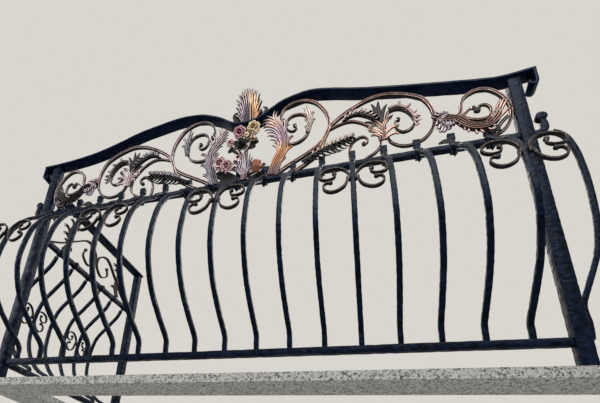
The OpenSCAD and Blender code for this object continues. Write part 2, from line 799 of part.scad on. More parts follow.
post_front_left();
post_front_right();
post_wall_left();
handrail_front();
handrail_left();
frieze_rail_front();
frieze_rail_left();
bottom_rail_front();
bottom_rail_left();
belly_bars_left_side();
belly_bars_middle();
belly_bars_right_side();
belly_bar_corner();
belly_bars_return();
bar_collars_front();
bar_collars_return();
bar_scrolls_front();
bar_scrolls_return();
crest_ring_left();
crest_ring_right();
crest_spiral_left();
crest_spiral_right();
wave_scroll_left();
wave_scroll_right();
wave_spiral_left();
wave_spiral_right();
branch_strands();
end_scrolls();
end_acanthus();
fern_leaves();
calyx_flowers();
calyx_fringes();
centre_acanthus();
bouquet_stem();
bouquet_roses();
bouquet_lily();
bouquet_bud();
finial_leaf();
finial_side_leaves();
return_scrolls();
return_acanthus();
coping_front_stone();
coping_corner_stone();
coping_return_stone();
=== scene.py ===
"""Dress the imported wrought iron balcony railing.

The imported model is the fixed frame. The visible ironwork is forged over it here: square bars are
drawn out straight, hammered and bent over a guide, leaves are beaten from sheet frond by frond,
and each piece gets the finish of its real material. Sizes are in millimetres until a piece is
placed, then in metres, in the model's own axes (+X right, +Y towards the house, +Z up).
"""
import logging
import math
import random
from collections.abc import Callable
from dataclasses import dataclass, field, replace
from enum import Enum

import bmesh
import bpy
from mathutils import Matrix, Vector


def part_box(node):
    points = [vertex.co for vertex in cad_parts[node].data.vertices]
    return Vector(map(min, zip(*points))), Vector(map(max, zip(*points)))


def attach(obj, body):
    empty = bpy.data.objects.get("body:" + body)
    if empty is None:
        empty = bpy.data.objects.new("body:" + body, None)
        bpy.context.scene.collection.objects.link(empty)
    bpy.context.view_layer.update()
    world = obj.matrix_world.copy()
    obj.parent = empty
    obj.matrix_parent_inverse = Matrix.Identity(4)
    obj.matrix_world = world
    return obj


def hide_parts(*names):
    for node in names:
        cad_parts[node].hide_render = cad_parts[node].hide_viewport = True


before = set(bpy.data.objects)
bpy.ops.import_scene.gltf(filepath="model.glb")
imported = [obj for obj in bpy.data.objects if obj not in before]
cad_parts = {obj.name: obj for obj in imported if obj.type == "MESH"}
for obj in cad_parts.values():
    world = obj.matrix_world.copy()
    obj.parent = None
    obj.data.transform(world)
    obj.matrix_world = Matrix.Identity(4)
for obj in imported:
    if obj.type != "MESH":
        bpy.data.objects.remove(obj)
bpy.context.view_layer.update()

LOG = logging.getLogger("balcony")
MM = 0.001
Piece = bpy.types.Object
Material = bpy.types.Material
Tree = bpy.types.NodeTree
Socket = bpy.types.NodeSocket
Triple = tuple[float, float, float]
Point = tuple[float, float]
Path = list[Point]
Rows = tuple[tuple[float, ...], ...]

POST_X = 967.5
POST_SIZE = 40.0
RAIL = 24.0
COPING_T = 30.0
BOTTOM_Z = 110.0
FRIEZE_Z = 854.0
BAR_PITCH = 110.0
BAR_SIZE = 16.0
BAR_COUNT = 17
BAR_FIRST = -898.5
HANDRAIL_W = 56.0
HANDRAIL_T = 10.0
COLLAR_W = 18.0
COLLAR_T = 4.0
STRAP_TAIL = 50.0
STRAP_TOP = 64.0
SCROLL_D = 16.0
SCROLL_T = 13.0
SMALL_T = 8.0
RETURN_TURN = 3.9
RETURN_SPAN = 821.0
RETURN_FRIEZE = 630.0
RETURN_HANDRAIL = 906.0
RETURN_FIRST = 146.0
RETURN_PITCH = 118.3
RETURN_BARS = 6
EYE_STEPS = 10

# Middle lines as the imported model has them: the handrail's top edge over the stone, then height
# and reach of a belly bar from its bottom rail.
CROWN: Path = [
    (-1035, 1158), (-950, 1158), (-834, 1167), (-724, 1185), (-620, 1216), (-520, 1252),
    (-410, 1275), (-310, 1290), (-218, 1281), (-168, 1262), (-119, 1235), (-72, 1197),
    (-36, 1179), (19, 1178), (62, 1193), (104, 1221), (148, 1252), (200, 1271), (270, 1282),
    (350, 1265), (464, 1228), (607, 1192), (741, 1162), (866, 1136), (932, 1128), (1035, 1140)]
BELLY: Path = [
    (12, 0), (33, 4), (66, 13), (113, 90), (169, 167), (235, 216), (311, 243), (395, 241),
    (490, 219), (584, 165), (659, 92), (715, 48), (736, 17)]
RETURN_BELLY: Path = [
    (12, 0), (28, 6), (56, 62), (99, 112), (155, 152), (222, 177), (297, 182), (371, 176),
    (445, 151), (513, 89), (569, 38), (612, 17)]
CORNER_BELLY: Path = [
    (22, 6), (26, 50), (24, 103), (41, 151), (73, 228), (96, 295), (111, 380), (117, 453),
    (120, 529), (119, 585), (116, 643), (104, 702), (88, 730), (70, 742)]


class Street(Enum):
    """Side of the house that a panel's dressed face looks to."""

    FRONT = (0.0, -1.0, 0.0)
    LEFT = (-0.998, 0.068, 0.0)


class Side(Enum):
    """Half of the frieze."""

    RIGHT = "right"
    LEFT = "left"

    def fit(self, path: Path) -> Path:
        """Return a path of the right half as it runs in this half."""
        return path if self is Side.RIGHT else [(-x, z) for x, z in path]


class Slot(Enum):
    """Material slot of the record."""

    IRON = "iron"
    COPPER = "copper"
    SCROLL = "scroll_copper"


def smooth(points: Path, steps: int) -> Path:
    """Run a smooth curve through points, as the model's source does.

    Args:
        points: The points to pass through.
        steps: Steps between neighbouring points.

    Returns:
        The curve's points.
    """
    last = len(points) - 1
    out: Path = []
    for i in range(last):
        p0, p1 = points[max(i - 1, 0)], points[i]
        p2, p3 = points[i + 1], points[min(i + 2, last)]
        for j in range(steps):
            t = j / steps
            out.append(tuple(
                0.5 * (2 * b + (c - a) * t + (2 * a - 5 * b + 4 * c - d) * t * t
                       + (3 * b - 3 * c + d - a) * t ** 3)
                for a, b, c, d in zip(p0, p1, p2, p3)))
    out.append(points[last])
    return out


def path_length(path: Path) -> float:
    """Return the length of a path."""
    return sum(math.dist(a, b) for a, b in zip(path, path[1:]))


@dataclass(frozen=True)
class Plane:
    """A drawing plane: where a path's two numbers run, and which way its face looks."""

    origin: Triple
    along: Triple
    up: Triple = (0.0, 0.0, 1.0)
    face: Triple = (0.0, -1.0, 0.0)

    def matrix(self, lift: float = 0.0) -> Matrix:
        """Return the matrix that lays a flat drawing on the plane.

        Args:
            lift: Millimetres that the drawing stands off the plane towards its face.

        Returns:
            A matrix in metres that keeps shapes right-handed.
        """
        along, up = Vector(self.along).normalized(), Vector(self.up).normalized()
        normal = along.cross(up)
        place = Vector(self.origin) * MM + Vector(self.face).normalized() * lift * MM
        turn = Matrix((along, up, normal)).transposed().to_4x4()
        return Matrix.Translation(place) @ turn @ Matrix.Scale(MM, 4)


TURN = math.radians(90 - RETURN_TURN)
RETURN_ALONG = (math.cos(TURN), math.sin(TURN), 0.0)
RETURN_OUT = (-math.sin(TURN), math.cos(TURN), 0.0)
FRIEZE = Plane((0, 0, FRIEZE_Z), (1, 0, 0))


def return_point(along: float, out: float, z: float) -> Triple:
    """Return a point of the return panel in the model's axes, in millimetres."""
    return (-POST_X + along * RETURN_ALONG[0] + out * RETURN_OUT[0],
            along * RETURN_ALONG[1] + out * RETURN_OUT[1], z)


# Tools of the smithy: small steps done with Blender's own operators.


def clear_selection() -> None:
    """Deselect every object."""
    if bpy.context.mode != "OBJECT":
        bpy.ops.object.mode_set(mode="OBJECT")
    bpy.ops.object.select_all(action="DESELECT")


def pick(obj: Piece) -> None:
    """Select one object alone and make it active.

    Args:
        obj: The object.
    """
    clear_selection()
    obj.select_set(True)
    bpy.context.view_layer.objects.active = obj


def apply_modifiers(obj: Piece) -> None:
    """Apply all of an object's modifiers in order.

    Args:
        obj: The object.
    """
    pick(obj)
    for modifier in list(obj.modifiers):
        bpy.ops.object.modifier_apply(modifier=modifier.name)


def place(obj: Piece, matrix: Matrix) -> None:
    """Move a flat-drawn piece to its place and leave its object at the origin.

    Args:
        obj: The piece.
        matrix: Where it goes.
    """
    pick(obj)
    obj.matrix_world = matrix
    bpy.ops.object.transform_apply(location=True, rotation=True, scale=True)


def join(name: str, parts: list[Piece]) -> Piece:
    """Join parts into one object.

    Args:
        name: The joined piece's name.
        parts: The objects to join.

    Returns:
        The joined object.
    """
    pick(parts[0])
    for part in parts:
        part.select_set(True)
    if len(parts) > 1:
        bpy.ops.object.join()
    parts[0].name = name
    parts[0].data.name = name
    return parts[0]


def twin(obj: Piece, matrix: Matrix) -> Piece:
    """Copy a piece with its own mesh and move the copy's points.

    Args:
        obj: The piece.
        matrix: Where the copy's points go.

    Returns:
        The copy.
    """
    copy = obj.copy()
    copy.data = obj.data.copy()
    bpy.context.scene.collection.objects.link(copy)
    copy.data.transform(matrix)
    return copy


def block(size: Triple, x: float = 0.0) -> Piece:
    """Add a block of a size.

    Args:
        size: Its size along each axis.
        x: Where its middle is along X.

    Returns:
        The block.
    """
    clear_selection()
    bpy.ops.mesh.primitive_cube_add(size=1, location=(x, 0, 0))
    obj = bpy.context.object
    obj.scale = size
    bpy.ops.object.transform_apply(location=True, rotation=True, scale=True)
    return obj


def choose(obj: Piece, kind: str, wanted: Callable[..., bool]) -> None:
    """Enter edit mode with only the wanted points, edges or faces selected.

    Args:
        obj: The piece.
        kind: What is selected, in Blender's word: VERT, EDGE or FACE.
        wanted: Says whether one of them is wanted.
    """
    if bpy.context.mode == "OBJECT":
        pick(obj)
        bpy.ops.object.mode_set(mode="EDIT")
    bpy.ops.mesh.select_mode(type=kind)
    bpy.ops.mesh.select_all(action="DESELECT")
    mesh = bmesh.from_edit_mesh(obj.data)
    for part in {"VERT": mesh.verts, "EDGE": mesh.edges, "FACE": mesh.faces}[kind]:
        part.select_set(wanted(part))
    mesh.select_flush_mode()


def straight_bar(length: float, width: float, depth: float, spacing: float,
                 bevel: float) -> Piece:
    """Draw out a straight bar along X from the origin, cut across and with broken edges.

    Args:
        length: Length in millimetres.
        width: Size across, along Y.
        depth: Size along Z.
        spacing: Distance between the cuts across.
        bevel: Width of the broken long edges.

    Returns:
        The bar, in millimetres.
    """
    def runs_along(edge: bmesh.types.BMEdge) -> bool:
        """Tell whether an edge is a long one."""
        return abs(edge.verts[0].co.x - edge.verts[1].co.x) > length / 2

    bar = block((length, width, depth), length / 2)
    choose(bar, "EDGE", runs_along)
    bpy.ops.mesh.bevel(offset=bevel, offset_type="OFFSET", segments=2, profile=0.5)
    choose(bar, "EDGE", runs_along)
    bpy.ops.mesh.subdivide(number_cuts=max(2, round(length / spacing)))
    bpy.ops.object.mode_set(mode="OBJECT")
    return bar


def hammer(bar: Piece, dent: float, seed: int) -> None:
    """Leave uneven hammer marks on a bar.

    Args:
        bar: The bar.
        dent: Depth of the marks in the bar's own units.
        seed: Seed of the marks.
    """
    pick(bar)
    bpy.ops.object.mode_set(mode="EDIT")
    bpy.ops.mesh.select_all(action="SELECT")
    bpy.ops.transform.vertex_random(offset=dent, uniform=0.4, normal=0.6, seed=seed)
    bpy.ops.object.mode_set(mode="OBJECT")


def pick_end(bar: Piece, x: float) -> None:
    """Enter edit mode with only the points of the end at x selected."""
    choose(bar, "VERT", lambda vert: abs(vert.co.x - x) < 0.01)


def draw_end(bar: Piece, x: float, factor: float, reach: float,
             deep: float = 1.0) -> None:
    """Thin a bar towards one end.

    Args:
        bar: The bar.
        x: Where the end is.
        factor: Width left at the end, as a share.
        reach: How far along the bar the thinning goes.
        deep: Depth left at the end, as a share.
    """
    pick_end(bar, x)
    bpy.ops.transform.resize(value=(1, factor, deep), use_proportional_edit=True,
                             proportional_edit_falloff="SMOOTH", proportional_size=reach,
                             center_override=(x, 0, 0))
    bpy.ops.object.mode_set(mode="OBJECT")


def bend(obj: Piece, path: Path) -> None:
    """Bend a straight piece over a guide.

    Args:
        obj: The straight piece, which runs along X from the origin.
        path: The guide's points in the drawing's own plane.
    """
    curve = bpy.data.curves.new("guide", "CURVE")
    curve.dimensions = "2D"
    spline = curve.splines.new("POLY")
    spline.points.add(len(path) - 1)
    for point, (x, y) in zip(spline.points, path):
        point.co = (x, y, 0, 1)
    guide = bpy.data.objects.new("guide", curve)
    bpy.context.scene.collection.objects.link(guide)
    bpy.context.view_layer.update()
    modifier = obj.modifiers.new("bend", "CURVE")
    modifier.object = guide
    modifier.deform_axis = "POS_X"
    apply_modifiers(obj)
    bpy.data.objects.remove(guide)
    bpy.data.curves.remove(curve)


def forged_bar(path: Path, plane: Plane, width: float, depth: float, lift: float = 0.0,
               start: float = 1.0, end: float = 1.0, steps: int = 8, spacing: float = 7.0,
               bevel: float = 2.0, dent: float = 0.35, seed: int = 1,
               curl: float = 0.35) -> Piece:
    """Forge a bar along a smooth path.

    Args:
        path: Points that the bar's middle passes through.
        plane: The drawing plane.
        width: Size across the path in the plane.
        depth: Size square to the plane.
        lift: How far the bar stands off the plane.
        start: Share of the width left at the first end.
        end: Share of the width left at the last end.
        steps: Steps between neighbouring points.
        spacing: Distance between the cuts across.
        bevel: Width of the broken edges.
        dent: Depth of the hammer marks.
        seed: Seed of the hammer marks.
        curl: Share of the length over which an end is thinned.

    Returns:
        The bar at its place, in metres.
    """
    line = smooth(path, steps)
    length = path_length(line)
    bar = straight_bar(length, width, depth, spacing, bevel)
    if start < 1:
        draw_end(bar, 0, start, length * curl)
    if end < 1:
        draw_end(bar, length, end, length * curl)
    if dent:
        hammer(bar, dent, seed)
    bend(bar, line)
    place(bar, plane.matrix(lift))
    return bar


def finish_piece(name: str, parts: list[Piece], slot: Slot, material: Material, *nodes: str,
                 angle: float = 40.0) -> None:
    """Join parts into one piece, shade and paint it, and hide the CAD nodes that it stands for.

    Args:
        name: The piece's name.
        parts: Its parts.
        slot: The record's material slot; not used.
        material: Its finish.
        nodes: CAD nodes that the piece stands for.
        angle: Edges sharper than this stay crisp, in degrees.
    """
    obj = join(name, parts)
    bpy.ops.object.shade_smooth_by_angle(angle=math.radians(angle))
    obj.data.materials.clear()
    obj.data.materials.append(material)
    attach(obj, "root")
    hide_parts(*nodes)
    LOG.info("%s: %d faces", name, len(obj.data.polygons))


def mark(obj: Piece, share: Callable[[bpy.types.MeshVertex], float]) -> None:
    """Store on each point its share of brush and painted highlight, as the attribute "ridge".

    Args:
        obj: The piece.
        share: Gives a point's share: 1 on a ridge, 0 in a hollow or on a flank.
    """
    layer = obj.data.attributes.new("ridge", "FLOAT", "POINT")
    layer.data.foreach_set("value", [share(vert) for vert in obj.data.vertices])


def knob(bar: Piece, x: float, radius: float, outward: float) -> None:
    """Upset one end of a bar into an eye that is round in the drawing's plane.

    Args:
        bar: The bar.
        x: Where the end is.
        radius: The eye's radius.
        outward: +1 if the end looks along +X, or else -1.
    """
    pick_end(bar, x)
    mesh = bmesh.from_edit_mesh(bar.data)
    half = max(abs(vert.co.y) for vert in mesh.verts if vert.select)
    here = math.asin(min(0.95, half / radius))
    gap = (math.pi - 0.2 - here) / EYE_STEPS
    for k in range(EYE_STEPS):
        angle = here + gap
        step = radius * (math.cos(here) - math.cos(angle)) * outward
        thin = 0.8 if k > EYE_STEPS - 3 else 1.0
        bpy.ops.mesh.extrude_region_move(TRANSFORM_OT_translate={"value": (step, 0, 0)})
        bpy.ops.transform.resize(value=(1, math.sin(angle) / math.sin(here), thin))
        here = angle
    bpy.ops.object.mode_set(mode="OBJECT")


def groove(bar: Piece, width: float, deep: float) -> None:
    """Swage a groove along the face of a straight bar that looks to the street.

    Args:
        bar: The straight bar.
        width: Width of the ridge left at each side of the groove.
        deep: The groove's depth.
    """
    choose(bar, "FACE", lambda face: face.normal.z > 0.97)
    bpy.ops.mesh.inset(thickness=width, depth=-deep)
    bpy.ops.object.mode_set(mode="OBJECT")


def scroll_bar(path: Path, plane: Plane, width: float, depth: float, start: float = 1.0,
               end: float = 0.75, knobs: tuple[float, float] = (0.0, 0.0), lift: float = 0.0,
               seed: int = 3, grooved: bool = True) -> Piece:
    """Forge a scroll: swage its face, thin its ends, upset its knobs and bend it.

    Args:
        path: Points that the bar's middle passes through.
        plane: The drawing plane.
        width: Size across the path in the plane.
        depth: Size square to the plane.
        start: Share of the width left at the first end.
        end: Share of the width left at the last end.
        knobs: Radius of the knob at each end, or 0.
        lift: How far the bar stands off the plane.
        seed: Seed of the hammer marks.
        grooved: Whether the face has the swaged groove.

    Returns:
        The scroll at its place, in metres.
    """
    line = smooth(path, 8)
    length = path_length(line) - 0.9 * knobs[1]
    bar = straight_bar(length, width, depth, 6.0, min(2.0, width * 0.16))
    if grooved:
        groove(bar, width * 0.19, width * 0.16)
    # The face's top takes the brush and the painted highlight, only at its rims if grooved; the
    # groove and flanks keep the dark ground, partly painted shade.
    mark(bar, lambda vert: max(0.0, 1 - (depth / 2 - vert.co.z) / (width * 0.17)))
    draw_end(bar, 0, start, length * 0.3)
    draw_end(bar, length, end, length * 0.4, 0.85)
    if knobs[0]:
        knob(bar, 0, knobs[0], -1)
    if knobs[1]:
        knob(bar, length, knobs[1], 1)
    marks = bar.data.attributes["ridge"].data
    for vert in bar.data.vertices:
        if not -1 < vert.co.x < length + 1:
            marks[vert.index].value = 0
    hammer(bar, 0.22, seed)
    bend(bar, line)
    place(bar, plane.matrix(lift))
    return bar


def free_end(start: Point, heading: float, turn: float, reach: float) -> Path:
    """Curl off from a point, ever tighter, as the model's source does.

    Args:
        start: The point.
        heading: The way it sets off, in degrees.
        turn: How far it turns, in degrees.
        reach: Its length.

    Returns:
        The points after the start.
    """
    x, z = start
    out: Path = []
    for i in range(1, 7):
        heading += turn * i / 21
        x += reach / 6 * math.cos(math.radians(heading))
        z += reach / 6 * math.sin(math.radians(heading))
        out.append((x, z))
    return out


def heading_at(line: Path, k: int) -> float:
    """Return the way a line runs at one of its points, in degrees."""
    (x0, z0), (x1, z1) = line[max(k - 1, 0)], line[min(k + 1, len(line) - 1)]
    return math.degrees(math.atan2(z1 - z0, x1 - x0))


def barb(line: Path, share: float, fork: float, turn: float, reach: float) -> Path:
    """Spring a barb from a line.

    Args:
        line: The line.
        share: Where along it the barb springs.
        fork: Angle between the two, in degrees.
        turn: How far the barb curls, in degrees.
        reach: Its length.

    Returns:
        The barb's middle line.
    """
    k = round(share * (len(line) - 1))
    return [line[k]] + free_end(line[k], heading_at(line, k) + fork, turn, reach)


@dataclass(frozen=True)
class Frond:
    """One frond of a beaten leaf: it follows the leaf's spine, then curls off by itself."""

    leave: float
    offset: float
    fork: float
    turn: float
    reach: float
    width: float

    def path(self, spine: Path) -> Path:
        """Draw the frond's middle line, from its base on the spine to its tip.

        Args:
            spine: The leaf's spine.

        Returns:
            The line.
        """
        line = smooth(spine, 6)
        split = max(1, int(self.leave * (len(line) - 1)))
        out: Path = []
        for i in [*range(0, split, 3), split]:
            across = math.radians(heading_at(line, i) + 90)
            out.append((line[i][0] + math.cos(across) * self.offset,
                        line[i][1] + math.sin(across) * self.offset))
        return out + free_end(out[-1], heading_at(line, split) + self.fork, self.turn,
                              self.reach)

    def split(self) -> "list[Frond]":
        """Draw the frond out into two narrow strands, the inner one shorter.

        Returns:
            The strands.
        """
        return [replace(self, offset=self.offset + side * self.width * 0.26,
                        width=self.width * 0.66, turn=self.turn + side * 6,
                        reach=self.reach * (0.8 if side * self.turn > 0 else 1.0))
                for side in (1, -1)]


class Blade(Enum):
    """Shape of a beaten blade: how wide it is at even steps from its base to its tip."""

    TONGUE = (0.5, 0.5, 0.5, 0.5, 0.52, 0.56, 0.66, 0.86, 1.0, 0.98, 0.84, 0.6, 0.24)
    TOOTH = (0.7, 0.86, 0.97, 1.0, 0.97, 0.9, 0.8, 0.69, 0.57, 0.45, 0.33, 0.2, 0.08)
    PETAL = (0.3, 0.42, 0.56, 0.7, 0.83, 0.93, 0.99, 1.0, 0.97, 0.9, 0.78, 0.6, 0.3)


@dataclass
class LeafSmith:
    """Beats blades from sheet on a form, then cuts copies to length and bends them."""

    length: float = 100.0
    width: float = 10.0
    sheet: float = 4.0
    rib: float = 1.8
    cup: float = 1.2
    patterns: dict[Blade, Piece] = field(default_factory=dict)

    def ring(self, obj: Piece, x: float, middle: bool = False) -> None:
        """Select the points of one step along a blade, or only its front middle ones."""
        choose(obj, "VERT", lambda vert: abs(vert.co.x - x) < 0.01 and not (
            middle and (abs(vert.co.y) > 0.01 or vert.co.z < 0)))

    def pattern(self, blade: Blade) -> Piece:
        """Return the pattern of a blade, beaten the first time it is asked for.

        Args:
            blade: Which shape.

        Returns:
            A blade of the smith's length along X, with its rib towards +Z.
        """
        if blade in self.patterns:
            return self.patterns[blade]
        obj = block((self.length, self.width, self.sheet), self.length / 2)
        obj.name = "pattern_" + blade.name.lower()
        steps = len(blade.value) - 1
        petal = blade is Blade.PETAL
        for axis, cuts in ((0, steps - 1), (1, 3)):
            choose(obj, "EDGE", lambda edge: edge.calc_length() > 1 and abs(
                edge.verts[0].co[axis] - edge.verts[1].co[axis]) > edge.calc_length() / 2)
            bpy.ops.mesh.subdivide(number_cuts=cuts)
        for k, share in enumerate(blade.value):
            x = self.length * k / steps
            self.ring(obj, x)
            bpy.ops.transform.resize(value=(1, share, 0.55 + 0.45 * share))
            rise = 0 if petal else 30 * max(0.0, k / steps - 0.55) ** 2
            bpy.ops.transform.translate(value=(0, 0, rise))
            self.ring(obj, x, middle=True)
            bpy.ops.transform.translate(value=(0, 0, -self.cup if petal else self.rib))
        bpy.ops.object.mode_set(mode="OBJECT")
        obj.modifiers.new("soft", "SUBSURF").levels = 1
        apply_modifiers(obj)
        self.mark_pattern(obj, blade)
        obj.hide_render = True
        self.patterns[blade] = obj
        return obj

    def mark_pattern(self, obj: Piece, blade: Blade) -> None:
        """Mark a blade's midrib, or a petal's rolled rim, for the brush and painted highlight.

        Args:
            obj: The blade.
            blade: Its shape.
        """
        half: dict[int, float] = {}
        for vert in obj.data.vertices:
            key = round(vert.co.x)
            half[key] = max(half.get(key, 0.01), abs(vert.co.y))

        def share(vert: bpy.types.MeshVertex) -> float:
            """Return how far one point takes the brush and the painted highlight."""
            if vert.normal.z < 0.1:
                return 0.0
            out = abs(vert.co.y) / half[round(vert.co.x)]
            if blade is Blade.PETAL:
                return max(out ** 2, 4 * vert.co.x / self.length - 3)
            return 1 - out

        mark(obj, share)

    def cut(self, blade: Blade, path: Path, width: float, thick: float, plane: Plane,
            lift: float, free: float = 0.0) -> Piece:
        """Cut a blade to length, bend it and put it on a plane.

        Args:
            blade: Which shape.
            path: The blade's middle, from its base to its tip.
            width: Its greatest width.
            thick: Its thickness.
            plane: The drawing plane.
            lift: How far its middle stands off the plane.
            free: Length that the blade's outer half takes, or 0 for half of the path.

        Returns:
            The blade at its place, in metres.
        """
        line = smooth(path, 4)
        length = path_length(line)
        size = (length / self.length, width / self.width, thick / self.sheet)
        obj = twin(self.pattern(blade), Matrix.Diagonal((*size, 1)))
        if free:
            trunk = max(length - free, 1.0)
            for vert in obj.data.vertices:
                x = vert.co.x - length / 2
                vert.co.x = trunk + x * (free if x > 0 else trunk) / (length / 2)
        obj.hide_render = False
        bend(obj, line)
        place(obj, plane.matrix(lift))
        return obj

    def fronds(self, rows: Rows, spine: Path, plane: Plane, thick: float, lift: float,
               layers: int = 1, step: float = 0.0, whole: bool = False,
               fits: tuple[Callable[[Path], Path], ...] = (list,)) -> list[Piece]:
        """Cut all fronds of a leaf, each drawn out into two strands.

        Args:
            rows: The measures of each Frond.
            spine: The leaf's spine.
            plane: The drawing plane.
            thick: The strands' thickness.
            lift: How far the lowest layer stands off the plane.
            layers: How many layers the strands lie in.
            step: Distance between the layers.
            whole: Whether each frond stays one strand.
            fits: Ways in which each strand's path is laid on the plane.

        Returns:
            The strands.
        """
        strands = [strand for row in rows
                   for strand in ([Frond(*row)] if whole else Frond(*row).split())]
        return [self.cut(Blade.TONGUE, fit(strand.path(spine)), strand.width, thick, plane,
                         lift + step * (k % layers), strand.reach)
                for k, strand in enumerate(strands) for fit in fits]

    def clear(self) -> None:
        """Put the patterns away."""
        for obj in self.patterns.values():
            bpy.data.objects.remove(obj)
        self.patterns.clear()


# Finishes.


def srgb(code: str) -> tuple[float, float, float, float]:
    """Turn a hex colour of the picture into Blender's linear one.

    Args:
        code: The colour, as in "#c98684".

    Returns:
        Its red, green, blue and an alpha of 1.
    """
    def channel(text: str) -> float:
        """Turn one channel's two hex digits into a linear value."""
        value = int(text, 16) / 255
        return value / 12.92 if value <= 0.04045 else ((value + 0.055) / 1.055) ** 2.4
    return (channel(code[1:3]), channel(code[3:5]), channel(code[5:7]), 1.0)


def add(tree: Tree, kind: str, settings: dict | None = None, links: dict | None = None,
        stops: tuple[tuple[float, str], ...] = ()) -> bpy.types.Node:
    """Add a node with its settings and links.

    Args:
        tree: The node tree.
        kind: The node's type name, after ShaderNode.
        settings: Values by property name, or by input name or number.
        links: Output sockets by input name or number.
        stops: Positions and hex colours of a colour ramp.

    Returns:
        The node.
    """
    node = tree.nodes.new("ShaderNode" + kind)
    for key, value in (settings or {}).items():
        if isinstance(key, str) and hasattr(node, key):
            setattr(node, key, value)
        else:
            node.inputs[key].default_value = value
    for key, socket in (links or {}).items():
        tree.links.new(socket, node.inputs[key])
    if stops:
        elements = node.color_ramp.elements
        while len(elements) < len(stops):
            elements.new(0.5)
        for element, (position, code) in zip(elements, stops):
            element.position, element.color = position, srgb(code)
    return node


@dataclass(frozen=True)
class Finish:
    """A finish: each kind mixes its own surface."""

    name: str

    def surface(self, tree: Tree, coords: Socket) -> tuple[dict, dict]:
        """Return the shader's settings and links: plain ones here."""
        return {}, {}

    def build(self) -> Material:
        """Build the material.

        Returns:
            The material.
        """
        material = bpy.data.materials.new(self.name)
        material.use_nodes = True
        tree = material.node_tree
        tree.nodes.clear()
        coords = add(tree, "TexCoord").outputs["Object"]
        shader = add(tree, "BsdfPrincipled", *self.surface(tree, coords))
        add(tree, "OutputMaterial", links={"Surface": shader.outputs["BSDF"]})
        return material


@dataclass(frozen=True)
class PaintedIron(Finish):
    """Wrought iron, hammered over its whole face and brush painted in blue-black enamel.

    The enamel is nearly black and glossy, and pools in the hammer marks, so the iron shows blue
    only where the sky lies on it, in uneven short glints. Their blue is painted: the sky colour is
    set as the specular tint of every reflection.
    """

    name: str = "hammered_iron_blue_black_enamel"
    dark: str = "#05080f"
    light: str = "#0f1d33"
    worn: str = "#22384f"
    sky: str = "#c6d6ea"
    roughness: float = 0.3
    mark_mm: float = 13.0
    mark_depth: float = 0.55
    drip_mm: float = 50 / 3

    def surface(self, tree: Tree, coords: Socket) -> tuple[dict, dict]:
        """Mix the enamel.

        Args:
            tree: The node tree.
            coords: The place on the piece.

        Returns:
            The shader's settings and links.
        """
        marks = add(tree, "TexVoronoi",
                    {"feature": "SMOOTH_F1", "Scale": 1 / (self.mark_mm * MM),
                     "Smoothness": 0.6}, {"Vector": coords})
        drips = add(tree, "TexNoise", {"Scale": 1 / (self.drip_mm * MM), "Detail": 3.0},
                    {"Vector": coords}).outputs["Fac"]
        colour = add(tree, "ValToRGB", links={"Fac": drips}, stops=(
            (0.35, self.dark), (0.62, self.light), (0.85, self.worn)))
        rough = add(tree, "MapRange",
                    {"From Min": 0.3, "From Max": 0.7, "To Min": self.roughness - 0.08,
                     "To Max": self.roughness + 0.16}, {"Value": drips})
        bump = add(tree, "Bump", {"Strength": self.mark_depth, "Distance": 0.0025},
                   {"Height": marks.outputs["Distance"]})
        fine = add(tree, "Bump", {"Strength": 0.25, "Distance": 0.001},
                   {"Height": drips, "Normal": bump.outputs["Normal"]})
        # Specular Tint: a painted sky colour that tints every reflection of the enamel blue.
        return ({"Specular IOR Level": 0.1, "Specular Tint": srgb(self.sky)},
                {"Base Color": colour.outputs["Color"], "Roughness": rough.outputs["Result"],
                 "Normal": fine.outputs["Normal"]})


